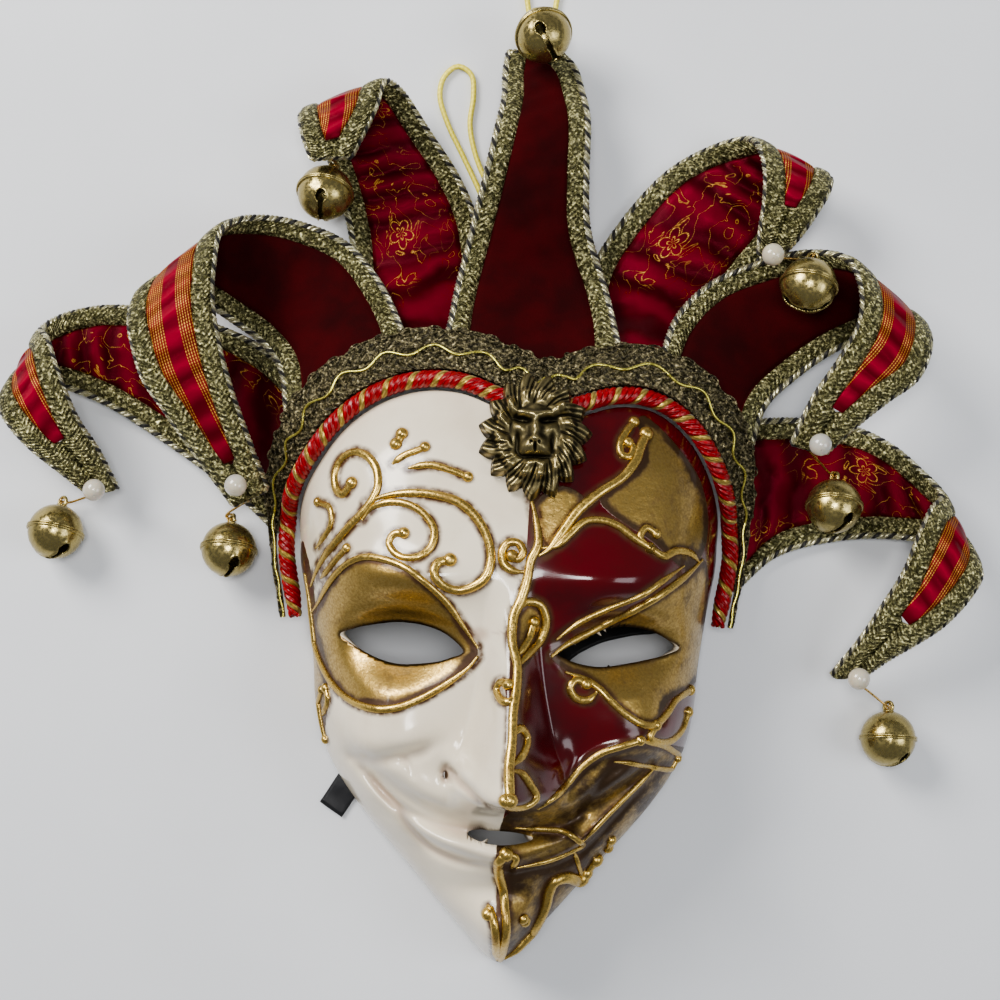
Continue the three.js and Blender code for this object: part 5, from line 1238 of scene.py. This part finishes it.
def by_eye(y, z):
    """A place near the eye of the present bell's shank, from its own axes."""
    return np.array([0, y, z + BELL_RADIUS + SHANK_RISE]) @ matrix.T + centre


for name, (start, rests, axis, turn) in BELLS.items():
    surface = surfaces[name]
    end = surface.point([1], [0.5])[0]
    centre = end + np.array(start) * BELL_RADIUS
    if rests:
        centre[2] = BELL_RADIUS + 0.7
    matrix = bell_turn(axis, turn)
    bell = Parts()
    bell_mesh(bell, matrix, centre)
    bell.make("round_bell_" + name, antique_brass, cover=("bell_" + name,), slot="bell_brass")

    # Wire from the horn's end through the shank's eye, with a small jump ring
    across = unit(surface.point([1], [1])[0] - surface.point([1], [0])[0])
    outward = np.cross(surface.normal([1], [0.5])[0], across)
    if outward @ (end - surface.point([0.97], [0.5])[0]) < 0:
        outward = -outward
    first = end + outward * 0.7
    side = 1 if np.linalg.norm(by_eye(1, 0) - first) < np.linalg.norm(by_eye(-1, 0) - first) else -1
    route = np.array([first, (first + by_eye(side * 3.4, 1.2)) / 2, by_eye(side * 2.6, 0.6), by_eye(0, 0),
                      by_eye(-side * 1.6, -0.1)])
    wire = Parts()
    wire.tube(even(route, 0.35), 0.42, 10)
    ring = np.linspace(0, 2 * math.pi, 40)
    loop = np.outer(np.cos(ring), matrix[:, 1]) + np.outer(np.sin(ring), matrix[:, 2])
    wire.tube(by_eye(side * 0.6, 0.4) + 1.5 * loop, 0.36, 8, cap=False)
    wire.make("wire_" + name, wire_brass, cover=("link_" + name,), slot="wire_brass")
    if name in ("left_top", "center"):
        continue
    seat, up = surface.point([0.97], [0.5])[0], surface.normal([0.97], [0.5])[0]
    up = -up if up[2] < 0 else up
    middle = seat + up * (BRAID_HALF + PEARL_RADIUS - 0.2)
    bead = Parts()
    bead.ball(middle, np.eye(3) * PEARL_RADIUS, 28, 44)
    bead.tube(np.array([middle - up * 5.4, middle + up * 4.1]), 0.4, 8)
    bead.make("pearl_bead_" + name, pearl_finish.material, cover=("pearl_" + name,), slot="pearl")

# Lion brooch: a cast head with a shaggy mane, on a slope that leans with the brow
BROOCH_X, BROOCH_Y, BROOCH_TILT = 8.3, 72.0, math.radians(12)
dip = math.atan2(0.897 * CROWN_RISE, 0.13 * FACE_HALF_WIDTH)
dip_plan = beside_edge(np.array([dip]), np.array([CORD_OFFSET]))[0]
dip_z = max(float(edge_height(np.array([dip]))[0]), SKIRT_REST) + 0.8
BROOCH_Z = dip_z + CORD_RADIUS + CLEARANCE + (dip_plan[1] - BROOCH_Y) * math.tan(BROOCH_TILT)


def lock(turn, count):
    """1 along the middle of each of count locks round the head, 0 between them."""
    return 1 - np.abs(2 * ((turn * count / (2 * math.pi)) % 1) - 1)


def lion_height(x, y):
    reach, turn = np.hypot(x, y * 38 / 44), np.arctan2(y * 38 / 44, x)
    sweep = turn + 0.03 * reach
    height = 2.6 + 1.8 * smooth(19, 9, reach)
    height += 2.1 * lock(sweep, 15) ** 0.7 * smooth(9.5, 13, reach) * (1 - 0.45 * smooth(16, 20, reach))
    height += 1.9 * lock(sweep + 0.2, 12) ** 0.7 * smooth(8, 10, reach) * (1 - smooth(12.5, 14.5, reach))
    height += 0.35 * lock(sweep, 60) * smooth(9, 14, reach)
    height += 3.8 * lump(x, y - 0.5, 9.5, 11.5)
    height += 1.3 * lump(x, y - 8.6, 7.5, 2.6)
    for side in (-1, 1):
        eye_x, eye_y = x - side * 4.3, y - 4.2 - 0.16 * (side * x - 4.3)
        height += 2.0 * lump(eye_x, eye_y - 2.3, 3.6, 1.3) - 2.3 * lump(eye_x, eye_y, 2.6, 1.1)
        height += 1.0 * lump(eye_x, eye_y, 1.1, 0.75) + 1.3 * lump(eye_x - side * 1.2, eye_y + 3.2, 2.4, 2.2)
        height += 2.4 * lump(x - side * 2.7, y + 5.6, 2.6, 2.3)
        height -= 0.8 * lump(x - side * 1.3, y + 3.9, 0.7, 0.6)
        height -= 1.2 * lump(x - side * 5.9, y + 3.6, 1.0, 3.4)
        height += 2.4 * lump(x - side * 10.2, y - 9.2, 2.3, 2.7) - 1.5 * lump(x - side * 10.2, y - 9.0, 1.0, 1.5)
    height += 2.8 * lump(x, y - 1.2, 1.9, 5.4) + 1.9 * lump(x, y + 3.1, 3.0, 1.5)
    height -= 1.5 * lump(x, y + 5.2, 0.5, 1.6) + 2.1 * lump(x, y + 8.2, 4.2, 0.8)
    height += 1.8 * lump(x, y + 10.2, 2.8, 1.4) + 1.2 * lump(x, y + 13.5, 2.6, 3.0)
    return height


rows, columns = 120, 300
reach, turn = np.meshgrid(np.linspace(0.004, 1, rows), np.arange(columns) / columns * 2 * math.pi, indexing="ij")
fringe = lock(turn + 0.03 * 19, 15)
size = 15.6 + 3.6 * fringe**0.8 + 0.5 * np.sin(turn * 4 + 1)
lion_x, lion_y = reach * size * np.cos(turn), reach * size * np.sin(turn) * 44 / 38
drop = 1 - smooth(0.93, 1.0, reach)
lion_z = np.maximum(0.4, lion_height(lion_x, lion_y) * (0.35 + 0.65 * drop))
base_z = np.where(reach > 0.97, 0.3, 0.15)
cosine, sine = math.cos(BROOCH_TILT), math.sin(BROOCH_TILT)
lean = np.array([[1, 0, 0], [0, cosine, sine], [0, -sine, cosine]])
top_points, low_points = (
    np.stack([lion_x, lion_y, z], -1).reshape(-1, 3) @ lean.T + [BROOCH_X, BROOCH_Y, BROOCH_Z]
    for z in (lion_z, base_z)
)
count = rows * columns
front_faces = grid_faces(rows, columns, wrap=True)
back_rows = [f[::-1] for f in grid_faces(rows, columns, wrap=True, start=count)]
last = (rows - 1) * columns
rim = [(last + (c + 1) % columns, last + c, last + c + count, last + (c + 1) % columns + count)
       for c in range(columns)]
middle_caps = [tuple(range(columns)), tuple(range(count + columns - 1, count - 1, -1))]
bronze = Finish("antique_bronze")
grain = bronze.noise(500, 4)
wear = bronze.ramp(bronze.math("ADD", bronze.attr("high"), bronze.math("MULTIPLY", grain, 0.3)), 0.35, 0.95)
bronze.set(Base_Color=bronze.mix(wear, (0.022, 0.018, 0.009), (0.38, 0.31, 0.15)), Metallic=0.9,
           Roughness=bronze.ramp(wear, 0, 1, 0.5, 0.27), Normal=bronze.bump(grain, 0.3, 0.0003))
around = (lion_height(lion_x * 0.97 + 0.6, lion_y) + lion_height(lion_x - 0.6, lion_y)
          + lion_height(lion_x, lion_y + 0.6) + lion_height(lion_x, lion_y - 0.6))
high = np.clip(0.42 + 1.7 * (lion_height(lion_x, lion_y) - around / 4), 0, 1)
lion = Parts("high")
lion_faces = front_faces + back_rows + rim + middle_caps
lion.add(np.vstack([top_points, low_points]), lion_faces, high=np.tile(high.ravel(), 2))
lion.make("lion_relief", bronze.material, cover=("brooch_lion",), slot="cast_bronze")

# Pale floor
floor_mesh = bpy.data.meshes.new("floor")
floor_mesh.from_pydata([(-1.5, -1.5, 0), (1.5, -1.5, 0), (1.5, 1.5, 0), (-1.5, 1.5, 0)], [], [(0, 1, 2, 3)])
floor = bpy.data.objects.new("floor", floor_mesh)
bpy.context.scene.collection.objects.link(floor)
pale = Finish("pale_floor")
clouded = pale.mix(pale.ramp(pale.noise(6, 4), 0.3, 0.7), (0.74, 0.75, 0.77), (0.69, 0.7, 0.72))
pale.set(Base_Color=clouded, Roughness=0.6, Normal=pale.bump(pale.noise(90, 5), 0.08, 0.0005))
floor_mesh.materials.append(pale.material)

# Soft light, the largest from the upper left
LIGHTS = [
    ("window", (-0.85, 0.75, 0.85), (0.7, 0.6), 21.0, (1.0, 0.98, 0.95)),
    ("fill", (0.95, -0.1, 0.9), (0.6, 0.6), 4.5, (0.93, 0.96, 1.0)),
    ("overhead", (0.0, 0.1, 1.2), (0.3, 0.3), 6.0, (1.0, 1.0, 1.0)),
]
for name, place, size, power, colour in LIGHTS:
    data = bpy.data.lights.new(name, "AREA")
    data.shape, data.size, data.size_y = "RECTANGLE", *size
    data.energy, data.color = power, colour
    lamp = bpy.data.objects.new(name, data)
    lamp.location = place
    away = np.array(place) - np.array([0.0, 0.0, 0.03])
    lamp.rotation_euler = (math.acos(away[2] / np.linalg.norm(away)), 0, math.atan2(away[1], away[0]) + math.pi / 2)
    bpy.context.scene.collection.objects.link(lamp)
world = bpy.data.worlds.new("studio")
world.use_nodes = True
world.node_tree.nodes["Background"].inputs["Color"].default_value = (0.86, 0.9, 0.96, 1)
world.node_tree.nodes["Background"].inputs["Strength"].default_value = 0.22
bpy.context.scene.world = world

bpy.context.scene.view_settings.look = "AgX - Medium High Contrast"
